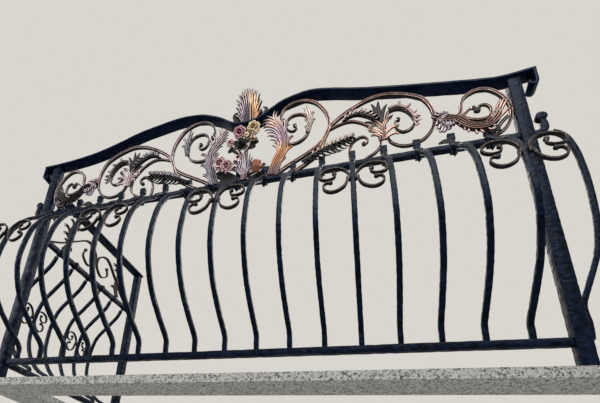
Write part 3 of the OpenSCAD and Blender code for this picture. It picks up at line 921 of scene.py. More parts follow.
@dataclass(frozen=True)
class CopperBrushedIron(Finish):
    """Forged scrolls and beaten leaves, painted dark and dry brushed with copper paint.

    The brush only reaches the faces that look to the street and the raised ridges, so flanks and
    hollows stay dark, partly as painted shade, and the copper shifts from pink through orange to a
    purple grey. A pale painted highlight lies along the ridges and rims.
    """

    street: Street = Street.FRONT
    dark: str = "#150e12"
    stops: tuple[tuple[float, str], ...] = (
        (0.32, "#9a8288"), (0.45, "#d9ab9a"), (0.56, "#b9806a"), (0.7, "#d69a72"))
    # Colour of the painted highlight that is laid on ridges and rims.
    glint: str = "#f6ddd0"
    reach: float = 0.62
    relief: float = 1.4
    rise: tuple[float, float] | None = None
    roughness: float = 0.36
    metal: float = 0.45
    patch_mm: float = 1000 / 7
    stroke_mm: float = 20 / 3

    def tone(self, tree: Tree, coords: Socket, ridge: Socket) -> Socket:
        """Mix the copper's patches, which may change with height, with a painted highlight on its
        ridges.

        Args:
            tree: The node tree.
            coords: The place on the piece.
            ridge: The share of a ridge.

        Returns:
            The colour socket.
        """
        factor = add(tree, "TexNoise", {"Scale": 1 / (self.patch_mm * MM), "Detail": 2.0},
                     {"Vector": coords}).outputs["Fac"]
        if self.rise:
            height = add(tree, "SeparateXYZ", links={"Vector": coords})
            up = add(tree, "MapRange",
                     {"From Min": self.rise[0] * MM, "From Max": self.rise[1] * MM,
                      "To Min": -0.2, "To Max": 0.8}, {"Value": height.outputs["Z"]})
            factor = add(tree, "Math", {"operation": "MULTIPLY_ADD", 1: 0.4},
                         {0: factor, 2: up.outputs["Result"]}).outputs["Value"]
        patches = add(tree, "ValToRGB", links={"Fac": factor}, stops=self.stops)
        # Painted highlight: the pale colour covers the patches where the ridge share is highest.
        shine = add(tree, "MapRange", {"From Min": 0.62, "To Max": 0.8}, {"Value": ridge})
        return add(tree, "Mix", {"data_type": "RGBA", 7: srgb(self.glint)},
                   {0: shine.outputs["Result"], 6: patches.outputs["Color"]}).outputs[2]

    def surface(self, tree: Tree, coords: Socket) -> tuple[dict, dict]:
        """Brush the copper over the dark ground, which in hollows and on flanks is partly painted
        shade.

        Args:
            tree: The node tree.
            coords: The place on the piece.

        Returns:
            The shader's settings and links.
        """
        ridge = add(tree, "Attribute", {"attribute_name": "ridge"}).outputs["Fac"]
        geometry = add(tree, "NewGeometry")
        facing = add(tree, "VectorMath", {"operation": "DOT_PRODUCT", 1: self.street.value},
                     {0: geometry.outputs["Normal"]})
        strokes = add(tree, "TexNoise", {"Scale": 1 / (self.stroke_mm * MM), "Detail": 3.0},
                      {"Vector": coords}).outputs["Fac"]
        ragged = add(tree, "Math",
                     {"operation": "MULTIPLY_ADD", 1: 0.5, 2: -0.25 - self.relief / 2},
                     {0: strokes})
        raised = add(tree, "Math", {"operation": "MULTIPLY_ADD", 1: self.relief},
                     {0: ridge, 2: ragged.outputs["Value"]})
        # Low sums leave the dark ground in hollows, grooves and flanks: partly dry brushing,
        # partly painted shade.
        brush_and_shade = add(tree, "Math", {"operation": "ADD"},
                         {0: facing.outputs["Value"], 1: raised.outputs["Value"]})
        cover = add(tree, "MapRange",
                    {"From Min": self.reach - 0.15, "From Max": self.reach + 0.3},
                    {"Value": brush_and_shade.outputs["Value"]}).outputs["Result"]
        colour = add(tree, "Mix", {"data_type": "RGBA", 6: srgb(self.dark)},
                     {0: cover, 7: self.tone(tree, coords, ridge)})
        metal = add(tree, "Math", {"operation": "MULTIPLY", 1: self.metal}, {0: cover})
        rough = add(tree, "MapRange", {"To Min": 0.6, "To Max": self.roughness},
                    {"Value": cover})
        bump = add(tree, "Bump", {"Strength": 0.35, "Distance": 0.001}, {"Height": strokes})
        return ({"Specular IOR Level": 0.3},
                {"Base Color": colour.outputs[2], "Metallic": metal.outputs["Value"],
                 "Roughness": rough.outputs["Result"], "Normal": bump.outputs["Normal"]})


@dataclass(frozen=True)
class SawnGranite(Finish):
    """Sawn grey granite: light feldspar with dark mica grains a few millimetres wide."""

    name: str = "sawn_granite"
    stops: tuple[tuple[float, str], ...] = (
        (0.0, "#3d3f42"), (0.22, "#8f8f8c"), (0.5, "#b9b8b2"), (1.0, "#d0cfc9"))
    grain_mm: float = 5.0
    saw_mm: float = 10 / 3

    def surface(self, tree: Tree, coords: Socket) -> tuple[dict, dict]:
        """Mix the grains and the sawn face.

        Args:
            tree: The node tree.
            coords: The place on the piece.

        Returns:
            The shader's settings and links.
        """
        grains = add(tree, "TexVoronoi", {"Scale": 1 / (self.grain_mm * MM)},
                     {"Vector": coords})
        grey = add(tree, "SeparateColor", links={"Color": grains.outputs["Color"]})
        colour = add(tree, "ValToRGB", links={"Fac": grey.outputs["Red"]}, stops=self.stops)
        rough = add(tree, "TexNoise", {"Scale": 1 / (self.saw_mm * MM), "Detail": 2.0},
                    {"Vector": coords})
        bump = add(tree, "Bump", {"Strength": 0.3, "Distance": 0.001},
                   {"Height": rough.outputs["Fac"]})
        return ({"Roughness": 0.7},
                {"Base Color": colour.outputs["Color"], "Normal": bump.outputs["Normal"]})


@dataclass(frozen=True)
class PaleFloor(Finish):
    """Matt pale paint of the studio's floor."""

    name: str = "pale_floor"
    colour: str = "#c9c6c0"

    def surface(self, tree: Tree, coords: Socket) -> tuple[dict, dict]:
        """Return the paint's settings."""
        return {"Base Color": srgb(self.colour), "Roughness": 0.9}, {}


def brushed(name: str, *stops: str, **changes: object) -> Material:
    """Build a copper brushed finish whose colours are spread evenly over its patches.

    Args:
        name: The material's name.
        stops: Hex colours, from the lowest patch value to the highest.
        changes: Other settings of the finish.

    Returns:
        The material.
    """
    low, high = (0.0, 1.0) if changes.get("rise") else (0.34, 0.66)
    spread = tuple((low + (high - low) * k / (len(stops) - 1), code)
                   for k, code in enumerate(stops))
    return CopperBrushedIron(name, stops=spread, **changes).build()


class Finishes:
    """The built materials, each made once."""

    def __init__(self) -> None:
        """Mix all the finishes."""
        self.iron = PaintedIron().build()
        self.navy = PaintedIron("navy_enamelled_handrail", "#040b1a", "#0b1c38", "#1d3552",
                                mark_depth=0.3).build()
        self.granite = SawnGranite().build()
        # In the brushed finishes, the pale highlight colour is a painted highlight, and the dark
        # ground is partly painted shade in hollows.
        self.copper = CopperBrushedIron("copper_brushed_scrolls").build()
        self.grey = brushed("grey_pink_brushed_scrolls", "#6f6a78", "#a5929a", "#b58a80",
                            "#c9a598", glint="#ecdcd8", reach=0.85)
        self.pink = brushed("pink_brushed_leaves", "#b07a78", "#d99f90", "#e8b9a0", "#f0c8ae",
                            reach=0.75)
        self.lavender = brushed("lavender_brushed_leaves", "#6f6480", "#a08a9c", "#c9a3a0",
                                "#d8b09c", glint="#f0e0e2", reach=0.85)
        self.tips = brushed("white_tipped_leaves", "#a98c96", "#d9b3a6", "#ecd0c0", "#d8b890",
                            glint="#fff4ee", reach=0.6, metal=0.2)
        self.ash = brushed("ash_grey_tips", "#3c3a44", "#6d6870", "#a09ca2", "#7d6d6c",
                           glint="#d4d2d6", reach=0.95, metal=0.2)
        self.sunrise = brushed("gold_to_lavender_leaves", "#5a2a4a", "#ee7a1e", "#ffa83e",
                               "#b08ab0", "#c09abf", "#f0b8a2", "#f8dccb", glint="#fff0dc",
                               reach=0.72, dark="#32141c", rise=(880.0, 1190.0), metal=0.2)
        self.dusk = brushed("lavender_to_pink_leaves", "#7a6f9a", "#b49cc0", "#d8b0bc",
                            "#ecc4bc", glint="#fdf4f6", reach=1.05, dark="#120d18",
                            rise=(880.0, 1150.0), metal=0.2)
        self.finial_right = brushed("gold_finial", "#3a1a3a", "#d8661e", "#ffa83e", "#ffc680",
                                    "#eea890", "#4a2c30", glint="#fff4e0", reach=0.75,
                                    dark="#2a1218", rise=(1180.0, 1410.0), metal=0.2)
        self.finial_left = brushed("lavender_finial", "#241430", "#8a6a92", "#c79cb0",
                                   "#eab8ae", "#4a3238", glint="#faecee", reach=1.1,
                                   dark="#120c16", rise=(1180.0, 1410.0), metal=0.2)
        self.gold = brushed("gold_brushed_bud", "#c98684", "#e8a890", "#f4c49c", "#f8dcb8",
                            dark="#cc8a70", glint="#fff0d4", reach=0.24, metal=0.1)
        self.dark = brushed("dark_leaves_touched_with_copper", "#2c2a33", "#584a56", "#3a2f33",
                            "#8f7069", dark="#08060c", glint="#a48f98", reach=1.4)
        self.black = brushed("black_leaves", "#17161c", "#2a252c", "#1d1b22", "#3a3036",
                             dark="#06050a", glint="#6d6068", reach=1.5)
        self.poppy = brushed("navy_poppy", "#14161f", "#262432", "#3a3440", "#1a1a24",
                             dark="#06070c", glint="#d0ccd4", reach=1.3)
        self.rose = brushed("pink_brushed_roses", "#d0a0a4", "#f6d8d2", "#e4b2ac", "#f8e4da",
                            dark="#8c5660", glint="#fff8f6", reach=0.42, metal=0.1)
        self.wine = brushed("pink_brushed_top_rose", "#b0607a", "#e09ab0", "#e8b4bc", "#c87a92",
                            dark="#6a2a44", glint="#ffeef0", reach=0.5, metal=0.1)
        self.cream = brushed("cream_brushed_flowers", "#e8b4ac", "#f8e2b6", "#f2e6a8",
                             "#faf0c8", dark="#84683f", glint="#fffbe8", reach=0.35,
                             metal=0.05)
        self.copper_left = brushed("red_copper_return", "#7d4a44", "#b0583f", "#c4715a",
                                   "#c8663f", street=Street.LEFT, dark="#2a1212",
                                   glint="#e0957c", reach=0.5)
        self.scrolls = brushed("dark_scrolls_brushed_edges", "#3a363c", "#7a625a", "#a07a68",
                               "#4a444a", dark="#05060a", glint="#b8a49c", reach=1.3)


# Sub-assemblies.


@dataclass
class Structure:
    """Posts, rails and the flat handrail."""

    finishes: Finishes
    dent: float = 0.6
    half: float = POST_SIZE / 2
    rail_half: float = RAIL / 2
    paddle_r: float = 17.0
    paddle_t: float = 20.0
    paddle_out: float = 51.0
    paddle_z: float = 70.0

    def beam(self, low: Triple, high: Triple, seed: int) -> Piece:
        """Forge a straight beam between two corners in millimetres.

        Args:
            low: Lowest corner.
            high: Highest corner.
            seed: Seed of the hammer marks.

        Returns:
            The beam at its place.
        """
        x, y, z = (h - l for l, h in zip(low, high))
        mid = [(l + h) / 2 for l, h in zip(low, high)]
        if x > z:
            bar = straight_bar(x, y - 1, z - 1, 9, 2.2)
            stand = Matrix.Translation((low[0], mid[1], mid[2]))
        else:
            bar = straight_bar(z, y - 1, x - 1, 9, 2.6)
            stand = (Matrix.Translation((mid[0], mid[1], low[2]))
                     @ Matrix.Rotation(-math.pi / 2, 4, "Y"))
        hammer(bar, self.dent, seed)
        place(bar, Matrix.Scale(MM, 4) @ stand)
        return bar

    def rail(self, z: float, seed: int) -> Piece:
        """Forge the straight rail between the front posts at a height.

        Args:
            z: Height of its middle.
            seed: Seed of its hammer marks.

        Returns:
            The rail.
        """
        reach = POST_X - self.half
        return self.beam((-reach, -self.rail_half, z - self.rail_half),
                         (reach, self.rail_half, z + self.rail_half), seed)

    def build(self) -> None:
        """Build the posts, rails and handrails."""
        for name, x, seed in (("post_front_left", -POST_X, 1), ("post_front_right", POST_X, 2)):
            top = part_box(name)[1].z / MM
            post = self.beam((x - self.half, -self.half, COPING_T),
                             (x + self.half, self.half, top), seed)
            self.add_piece(name, [post])
        self.add_piece("bottom_rail_front", [self.rail(BOTTOM_Z, 3)])
        self.frieze_rail()
        self.handrail()
        self.return_frame()

    def add_piece(self, node: str, parts: list[Piece], finish: Material | None = None) -> None:
        """Finish the piece that stands for a node, in black iron unless told otherwise."""
        finish_piece(node + "_forged", parts, Slot.IRON, finish or self.finishes.iron, node)

    def paddle(self) -> Piece:
        """Spread a rail's end into a round paddle with domed faces.

        Returns:
            The right paddle.
        """
        clear_selection()
        bpy.ops.mesh.primitive_cylinder_add(
            vertices=32, radius=self.paddle_r, depth=self.paddle_t,
            location=(POST_X + self.paddle_out, 0, self.paddle_z),
            rotation=(math.pi / 2, 0, 0))
        disc = bpy.context.object
        bpy.ops.object.transform_apply(location=True, rotation=True, scale=True)
        choose(disc, "FACE", lambda face: abs(face.normal.y) > 0.9)
        bpy.ops.mesh.inset(thickness=3, depth=1.2)
        bpy.ops.mesh.inset(thickness=5, depth=1)
        bpy.ops.object.mode_set(mode="OBJECT")
        disc.data.transform(Matrix.Translation((0, 0, FRIEZE_Z * MM)) @ Matrix.Scale(MM, 4))
        return disc

    def frieze_rail(self) -> None:
        """Build the front frieze rail with its paddle ends."""
        rise: Path = [(POST_X + out, z)
                      for out, z in ((20, 0), (36, 0), (50, 12), (54, 34), (52, 60))]
        parts = [self.rail(FRIEZE_Z, 4)]
        parts += [forged_bar(side.fit(rise), FRIEZE, RAIL - 1, 20, end=0.67, dent=0.4, seed=5,
                             curl=0.5) for side in Side]
        right = self.paddle()
        parts += [right, twin(right, Matrix.Rotation(math.pi, 4, "Z"))]
        self.add_piece("frieze_rail_front", parts)

    def handrail(self) -> None:
        """Build the waved flat handrail with its turned down ends."""
        flat = Plane((0, 0, 0), (1, 0, 0))
        parts = [forged_bar([(x, z - HANDRAIL_T / 2) for x, z in CROWN], flat, HANDRAIL_T,
                            HANDRAIL_W, spacing=14, bevel=1.6, seed=6)]
        drop = ((5, 4), (5, 30), (5, 60), (8, 73), (18, 80), (28, 72), (27, 64))
        for sign, (end, top) in ((1, CROWN[-1]), (-1, CROWN[0])):
            parts.append(forged_bar([(end - sign * back, top - down) for back, down in drop],
                                    flat, HANDRAIL_T, HANDRAIL_W, spacing=8, bevel=1.6,
                                    end=0.8, dent=0.2, seed=7))
        self.add_piece("handrail_front", parts, self.finishes.navy)

    def return_frame(self) -> None:
        """Build the return's rails, handrail and wall post."""
        def run(z: float, end: float, size: tuple[float, float], **forging: float) -> Piece:
            """Forge one rail from the corner post to an end, of a size across."""
            plane = Plane((-POST_X, 0, z), RETURN_ALONG, face=RETURN_OUT)
            return forged_bar([(self.half, 0), (RETURN_SPAN / 2, 0), (end, 0)], plane, *size,
                              **forging)

        for name, z in (("bottom_rail_left", BOTTOM_Z),
                        ("frieze_rail_left", BOTTOM_Z + RETURN_FRIEZE)):
            self.add_piece(name, [run(z, RETURN_SPAN - self.half, (RAIL - 1, RAIL - 1),
                                      dent=self.dent, seed=8)])
        top = run(BOTTOM_Z + RETURN_HANDRAIL, RETURN_SPAN + self.half,
                  (HANDRAIL_T, HANDRAIL_W), spacing=14, bevel=1.6, seed=9)
        self.add_piece("handrail_left", [top], self.finishes.navy)
        height = BOTTOM_Z + RETURN_HANDRAIL - HANDRAIL_T / 2
        upright = Plane(return_point(RETURN_SPAN, 0, 0), (0, 0, 1), RETURN_ALONG, RETURN_OUT)
        post = forged_bar([(COPING_T, 0), (height / 2, 0), (height, 0)], upright,
                          POST_SIZE - 1, POST_SIZE - 1, dent=self.dent, bevel=2.6, seed=10)
        self.add_piece("post_wall_left", [post])


@dataclass
class BellyBars:
    """Bellied square bars, their collars and the corner bar."""

    finishes: Finishes
    dent: float = 0.45
    head: float = 26.0

    def bar(self, origin: Triple, out: Triple,
            profile: Path, seed: int) -> Piece:
        """Forge one bellied bar.

        Args:
            origin: Where the bar's line meets the bottom rail's middle.
            out: The way that the belly stands out.
            profile: Height and reach of the bar's middle.
            seed: Seed of the hammer marks.

        Returns:
            The bar at its place.
        """
        plane = Plane(origin, out)
        return forged_bar([(reach, z) for z, reach in profile], plane, BAR_SIZE, BAR_SIZE,
                          dent=self.dent, seed=seed, spacing=8, bevel=2.4)

    def collar(self) -> Piece:
        """Bend one collar around a rail, centred on the origin.

        Returns:
            The collar, in millimetres.
        """
        outer = RAIL + 2 * COLLAR_T
        collar = block((COLLAR_W, outer, outer))
        choose(collar, "FACE", lambda face: abs(face.normal.x) > 0.9)
        bpy.ops.mesh.inset(thickness=COLLAR_T)
        bpy.ops.mesh.bridge_edge_loops()
        bpy.ops.object.mode_set(mode="OBJECT")
        bevel = collar.modifiers.new("edge", "BEVEL")
        bevel.width = 1.2
        bevel.segments = 2
        apply_modifiers(collar)
        return collar

    def clasp(self) -> Piece:
        """Forge a bar's clasp: collar, strap down the rail's front, strut and square head.

        Returns:
            The clasp, in millimetres.
        """
        tail = STRAP_TAIL - RAIL / 2
        strap = straight_bar(tail, COLLAR_W, COLLAR_T, 4, 0.9)
        draw_end(strap, tail, 0.12, 14)
        hammer(strap, 0.25, 33)
        place(strap, Plane((0, 0, 0), (0, 0, -1), (1, 0, 0)).matrix().normalized()
              @ Matrix.Translation((RAIL / 2, 0, (RAIL + COLLAR_T) / 2)))
        upright = Matrix.Rotation(-math.pi / 2, 4, "Y")
        strut = straight_bar(STRAP_TOP - 20 - RAIL / 2, SCROLL_D - 2, COLLAR_W, 6, 1.6)
        hammer(strut, 0.3, 34)
        place(strut, Matrix.Translation((0, 0, RAIL / 2)) @ upright)
        head = straight_bar(self.head, SCROLL_D + 4, COLLAR_W + 6, 6, 2.2)
        hammer(head, 0.4, 35)
        place(head, Matrix.Translation((0, 2, STRAP_TOP - self.head)) @ upright)
        return join("clasp", [self.collar(), strap, strut, head])

    def add_piece(self, node: str, bars: list[Piece]) -> None:
        """Finish the bars or collars that stand for a node."""
        finish_piece(node + "_forged", bars, Slot.IRON, self.finishes.iron, node)

    def add_copies(self, node: str, master: Piece, places: list[Triple],
                   turn: float = 0.0) -> None:
        """Copy a collar or clasp to its places and put the master away.

        Args:
            node: The node that the copies stand for.
            master: The collar or clasp, in millimetres.
            places: Where the copies go, in millimetres.
            turn: How far they are turned about Z, in radians.
        """
        copies = [twin(master, Matrix.Scale(MM, 4) @ Matrix.Translation(at)
                       @ Matrix.Rotation(turn, 4, "Z")) for at in places]
        self.add_piece(node, copies)
        bpy.data.objects.remove(master)

    def build(self) -> None:
        """Build all the bars, clasps and collars."""
        fronts = [BAR_FIRST + k * BAR_PITCH for k in range(BAR_COUNT)]
        returns = [RETURN_FIRST + k * RETURN_PITCH for k in range(RETURN_BARS)]
        for name, first, last in (("left_side", 0, 6), ("middle", 6, 11),
                                  ("right_side", 11, BAR_COUNT)):
            self.add_piece("belly_bars_" + name, [
                self.bar((fronts[k], 0, BOTTOM_Z), (0, -1, 0), BELLY, k)
                for k in range(first, last)])
        self.add_piece("belly_bars_return", [
            self.bar(return_point(along, 0, BOTTOM_Z), RETURN_OUT, RETURN_BELLY, 40 + k)
            for k, along in enumerate(returns)])
        self.add_piece("belly_bar_corner", [
            forged_bar(CORNER_BELLY, Plane((POST_X, 0, BOTTOM_Z), (1, 0, 0)), BAR_SIZE - 1,
                       BAR_SIZE, seed=30)])
        self.add_copies("bar_collars_front", self.clasp(), [(x, 0, FRIEZE_Z) for x in fronts])
        self.add_copies("bar_collars_return", self.collar(), [
            return_point(along, 0, BOTTOM_Z + RETURN_FRIEZE) for along in returns], TURN)


@dataclass
class Coping:
    """The granite stones that the posts stand on."""

    finishes: Finishes

    def build(self) -> None:
        """Paint the stones, whose shape is right as packed."""
        for name in ("coping_front_stone", "coping_corner_stone", "coping_return_stone"):
            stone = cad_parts[name]
            stone.data.materials.clear()
            stone.data.materials.append(self.finishes.granite)


CREST_RING: Path = [
    (120, 4), (170, 44), (213, 71), (267, 105), (297, 129), (321, 160), (336, 199),
    (341, 242), (334, 289), (315, 335), (287, 373), (246, 396), (200, 398), (162, 372),
    (146, 330), (152, 290)]
CREST_SPIRAL: Path = [
    (158, 172), (187, 163), (222, 168), (250, 192), (264, 230), (263, 275), (246, 312),
    (214, 325), (185, 316), (169, 284), (178, 246), (199, 234), (214, 248), (206, 264)]
WAVE: Path = [
    (185, 4), (255, 48), (300, 96), (340, 209), (364, 240), (403, 273), (442, 299),
    (480, 318), (518, 329), (554, 331), (590, 322), (625, 307), (657, 288), (682, 266),
    (699, 230), (708, 191), (709, 154), (703, 121), (688, 90), (664, 64), (626, 48),
    (588, 54), (560, 78), (550, 106)]
WAVE_SPIRAL: Path = [
    (542, 150), (546, 190), (558, 231), (583, 242), (607, 235), (629, 210), (643, 174),
    (641, 144), (626, 125), (602, 119), (583, 140), (578, 172), (590, 186)]
BRANCH: Path = [
    (336, 199), (382, 219), (420, 224), (449, 213), (477, 191), (497, 164), (517, 133)]
LOWER_STRAND: Path = [(520, 122), (524, 85), (516, 57), (498, 37), (476, 24), (450, 4)]
CURLED_STRAND: Path = [
    (420, 4), (412, 50), (416, 84), (430, 116), (458, 132), (479, 119), (478, 98), (466, 95)]
END_OUTER: Path = [
    (768, 134), (793, 160), (801, 205), (813, 230), (835, 247), (861, 255), (888, 248),
    (912, 226), (932, 192), (943, 153), (941, 108), (930, 74), (913, 48), (893, 32), (868, 28)]
END_INNER: Path = [
    (792, 150), (806, 132), (824, 118), (848, 110), (874, 114), (887, 138), (884, 164),
    (868, 178), (850, 172), (846, 158)]
END_CURL: Path = [(784, 132), (800, 146), (813, 160), (824, 170), (836, 172)]
FERN: Path = [(236, 50), (262, 66), (296, 84), (330, 100), (366, 112), (400, 122), (430, 130)]
FRINGE: Path = [(392, 222), (420, 240), (450, 246), (480, 232), (505, 208), (524, 176)]


@dataclass
class Frieze:
    """Scrolls, leaves and flowers between the frieze rail and the handrail."""

    finishes: Finishes
    smith: LeafSmith
    leaf_lift: float = 11.0
    leaf_t: float = 5.0

    def beat(self, path: Path, side: Side, width: float, lift: float, blade: Blade) -> Piece:
        """Beat one blade along a path of the right half.

        Args:
            path: The blade's middle line.
            side: Which half it is for.
            width: Its greatest width.
            lift: How far it stands off the usual leaf plane.
            blade: Its shape.

        Returns:
            The blade at its place.
        """
        return self.smith.cut(blade, side.fit(path), width, self.leaf_t, FRIEZE,
                              self.leaf_lift + lift)

    def leaf(self, spine: Path, rows: Rows, side: Side, lift: float = 0.0,
             whole: bool = False) -> list[Piece]:
        """Beat one leaf of many fronds.

        Args:
            spine: The leaf's spine in the right half.
            rows: Its fronds.
            side: Which half it is for.
            lift: How far it stands off the usual leaf plane.
            whole: Whether each frond stays one strand.

        Returns:
            The strands.
        """
        return self.smith.fronds(rows, spine, FRIEZE, self.leaf_t, self.leaf_lift + lift, 4,
                                 1.3, whole, (side.fit,))

    def shade_backing(self, spine: Path, width: float, side: Side) -> Piece:
        """Beat the dark sheet under a leaf's strands, along its spine: painted shade in their
        gaps.
        """
        return self.beat(spine, side, width, -3, Blade.PETAL)

    def comb(self, spine: Path, count: int, first: float, last: float, fork: float,
             turn: float, reach: float, width: float, side: Side, lift: float = 0.0,
             blade: Blade = Blade.TOOTH) -> list[Piece]:
        """Beat a row of barbs along a spine, longest in the middle.

        Args:
            spine: The spine in the right half.
            count: How many barbs.
            first: Share of the spine at the first barb.
            last: Share of the spine at the last barb.
            fork: Angle at which each leaves the spine.
            turn: How far each curls, in degrees.
            reach: Length of the longest.
            width: Width of each.
            side: Which half it is for.
            lift: How far it stands off the usual leaf plane.
            blade: The barbs' shape.

        Returns:
            The barbs.
        """
        line = smooth(spine, 6)
        made = []
        for k in range(count):
            share = k / (count - 1)
            size = reach * (1 - 0.5 * abs(2 * share - 1) ** 1.5)
            made.append(self.beat(barb(line, first + (last - first) * share, fork, turn, size),
                                  side, width, lift + 0.8 * (k % 2), blade))
        return made

    def bar(self, path: Path, side: Side, width: float, depth: float, start: float,
            end: float, knob_r: float = 0.0, **forging: float) -> Piece:
        """Forge one scroll of the frieze along a path of the right half.

        Args:
            path: The scroll's middle line.
            side: Which half it is for.
            width: Its size in the frieze's plane.
            depth: Its size square to the plane.
            start: Share of the width left at the first end.
            end: Share of the width left at the last end.
            knob_r: Radius of the knob at its last end, or 0.
            forging: Lift, seed and groove, as scroll_bar takes them.

        Returns:
            The scroll at its place.
        """
        return scroll_bar(side.fit(path), FRIEZE, width, depth, start, end, (0, knob_r),
                          **forging)

    def rib(self, path: Path, width: float, side: Side, lift: float) -> Piece:
        """Draw out a leaf's round midrib along a path of the right half."""
        return self.bar(path, side, width, 6, 0.8, 0.5, lift=self.leaf_lift + lift,
                        grooved=False)

    def add_leaves(self, name: str, parts: list[Piece], finish: Material,
                   *nodes: str) -> None:
        """Finish a piece beaten from sheet."""
        finish_piece(name + "_beaten", parts, Slot.COPPER, finish, *nodes)

    def scrolls(self) -> None:
        """Forge the scrolls of both halves."""
        for side, tone in ((Side.RIGHT, self.finishes.copper), (Side.LEFT, self.finishes.grey)):
            half = side.value
            for name, path, width, end, ball, seed in (
                    ("crest_ring", CREST_RING, SCROLL_T, 0.6, 9, 21),
                    ("crest_spiral", CREST_SPIRAL, SMALL_T, 0.6, 8, 22),
                    ("wave_scroll", WAVE, SCROLL_T, 0.6, 0, 23),
                    ("wave_spiral", WAVE_SPIRAL, SMALL_T, 0.6, 8, 24)):
                bar = self.bar(path, side, width, SCROLL_D, 1.0, end, ball, seed=seed)
                node = f"{name}_{half}"
                finish_piece(node + "_forged", [bar], Slot.SCROLL, tone, node)
            strands = [self.bar(path, side, SMALL_T, 14, 0.9, end, ball, seed=25)
                       for path, end, ball in ((BRANCH, 0.8, 0), (LOWER_STRAND, 0.8, 0),
                                               (CURLED_STRAND, 0.6, 8))]
            finish_piece(f"branch_strands_{half}_forged", strands, Slot.SCROLL, tone,
                         "branch_strands")
            ends = [self.bar(END_OUTER, side, SMALL_T + 4, 15, 0.9, 0.8, seed=26),
                    self.bar(END_INNER, side, SMALL_T + 1, 14, 0.8, 0.7, 11, seed=27),
                    self.bar(END_CURL, side, 8, 11, 0.8, 0.7, 8, seed=28)]
            finish_piece(f"end_scrolls_{half}_forged", ends, Slot.SCROLL, tone, "end_scrolls")

    def end_leaves(self) -> None:
        """Beat the acanthus that sweeps through each end scroll, and its neck."""
        spine: Path = [(716, 136), (745, 134), (775, 122), (798, 92), (827, 70), (863, 68),
                       (893, 96), (910, 126)]
        sweep = ((1, 15, 0, 14, 40, 9), (1, 6, 0, 4, 50, 10), (0.98, -3, 0, -8, 52, 10),
                 (0.86, -12, 0, -30, 50, 10))
        low: Path = [(716, 136), (732, 130), (750, 124), (768, 118)]
        neck: Path = [(712, 110), (716, 136), (724, 160)]
        mass: Path = [(930, 96), (906, 70), (884, 40), (862, 20)]
        over_rail: Path = [(708, 19), (730, 27), (758, 20)]
        tongue = Blade.TONGUE
        lobes, dark = [], []
        for side, finish in ((Side.RIGHT, self.finishes.pink), (Side.LEFT, self.finishes.dark)):
            parts = self.leaf(spine, sweep, side, 2, True)
            parts += self.comb(spine, 9, 0.3, 0.78, -48, -14, 46, 10, side, 1, tongue)
            parts += self.comb(spine, 3, 0.7, 0.9, 40, 60, 30, 10, side, 1, tongue)
            self.add_leaves(f"end_acanthus_{side.value}", parts, finish, "end_acanthus")
            lobes += self.comb(low, 6, 0.02, 0.95, -75, -30, 74, 15, side, 2, tongue)
            lobes += self.comb(low, 6, 0.1, 1.0, -50, -50, 44, 12, side, 4, tongue)
            lobes += self.comb(neck, 5, 0.1, 0.95, -40, -60, 42, 12, side, 3, tongue)
            lobes += self.comb(neck, 4, 0.2, 0.98, 60, 60, 26, 10, side, 3, tongue)
            dark.append(self.beat(over_rail, side, 22, 0, Blade.PETAL))
            dark += self.leaf(mass, ((0.5, 0, 10, 60, 34, 13), (0.7, 0, -20, -50, 34, 13),
                                     (1, 0, 0, 40, 26, 12)), side, -2)
            dark += [self.shade_backing(spine, 40, side), self.shade_backing(neck, 26, side)]
        self.add_leaves("end_lobes", lobes, self.finishes.lavender, "end_acanthus")
        self.add_leaves("end_shade_leaves", dark, self.finishes.dark, "end_acanthus")

    def fern(self) -> None:
        """Beat the fern that hangs under the wave scroll."""
        dark = []
        for side, finish in ((Side.RIGHT, self.finishes.tips), (Side.LEFT, self.finishes.ash)):
            dark += self.comb(FERN, 13, 0.05, 0.98, -78, 34, 64, 11, side)
            dark += self.comb(FERN, 12, 0.08, 0.95, -66, 30, 40, 9, side, 3)
            dark += [self.shade_backing(FERN, 24, side), self.rib(FERN, 6, side, 3)]
            light = self.comb(FERN, 11, 0.26, 0.98, 62, -70, 24, 15, side, 5, Blade.TONGUE)
            light += self.comb(FERN, 11, 0.3, 0.94, 20, -50, 15, 9, side, 5)
            self.add_leaves(f"fern_tips_{side.value}", light, finish, "fern_leaves")
        self.add_leaves("fern_fronds", dark, self.finishes.black, "fern_leaves")

    def fringe(self) -> None:
        """Beat the fringe on the branch and the calyx flower at its end."""
        dark = []
        fold: Path = [(425, 282), (434, 266), (440, 244)]
        stalk: Path = [(534, 80), (534, 120), (531, 160), (526, 200)]
        spikes = ((0.9, 8, 8, 46, 70, 17), (1, 3, 0, 22, 78, 18), (1, -3, 0, -12, 80, 18),
                  (0.9, -8, -8, -40, 68, 17), (0.7, 8, 34, 50, 60, 16),
                  (0.7, -8, -34, -40, 50, 15), (1, 0, 6, 60, 52, 13))
        curls = ((0.3, 6, 24, 110, 60, 17), (0.2, 7, 34, 130, 52, 16),
                 (0.3, -6, -30, -100, 70, 18), (0.1, -6, -34, -130, 66, 16),
                 (0.5, 2, 8, 60, 50, 13), (0.5, -2, -14, -70, 60, 14))
        lip: Path = [(522, 150), (512, 162), (494, 160), (486, 146), (496, 134), (514, 134),
                     (524, 144)]
        for side, tips, lobes in (
                (Side.RIGHT, self.finishes.tips, self.finishes.pink),
                (Side.LEFT, self.finishes.ash, self.finishes.lavender)):
            light = self.comb(FRINGE, 9, 0.1, 0.86, 66, -80, 25, 17, side, 6, Blade.TONGUE)
            self.add_leaves(f"calyx_fringe_{side.value}", light, tips, "calyx_fringes")
            dark += self.comb(FRINGE, 10, 0.1, 0.94, -64, 60, 20, 10, side, 3)
            dark += [self.rib(FRINGE, 6, side, 2), self.rib(fold, 7, side, 0),
                     self.shade_backing(FRINGE, 30, side)]
            dark += self.leaf(stalk, spikes, side, 0, True)
            petals = self.leaf(stalk, curls, side, 4)
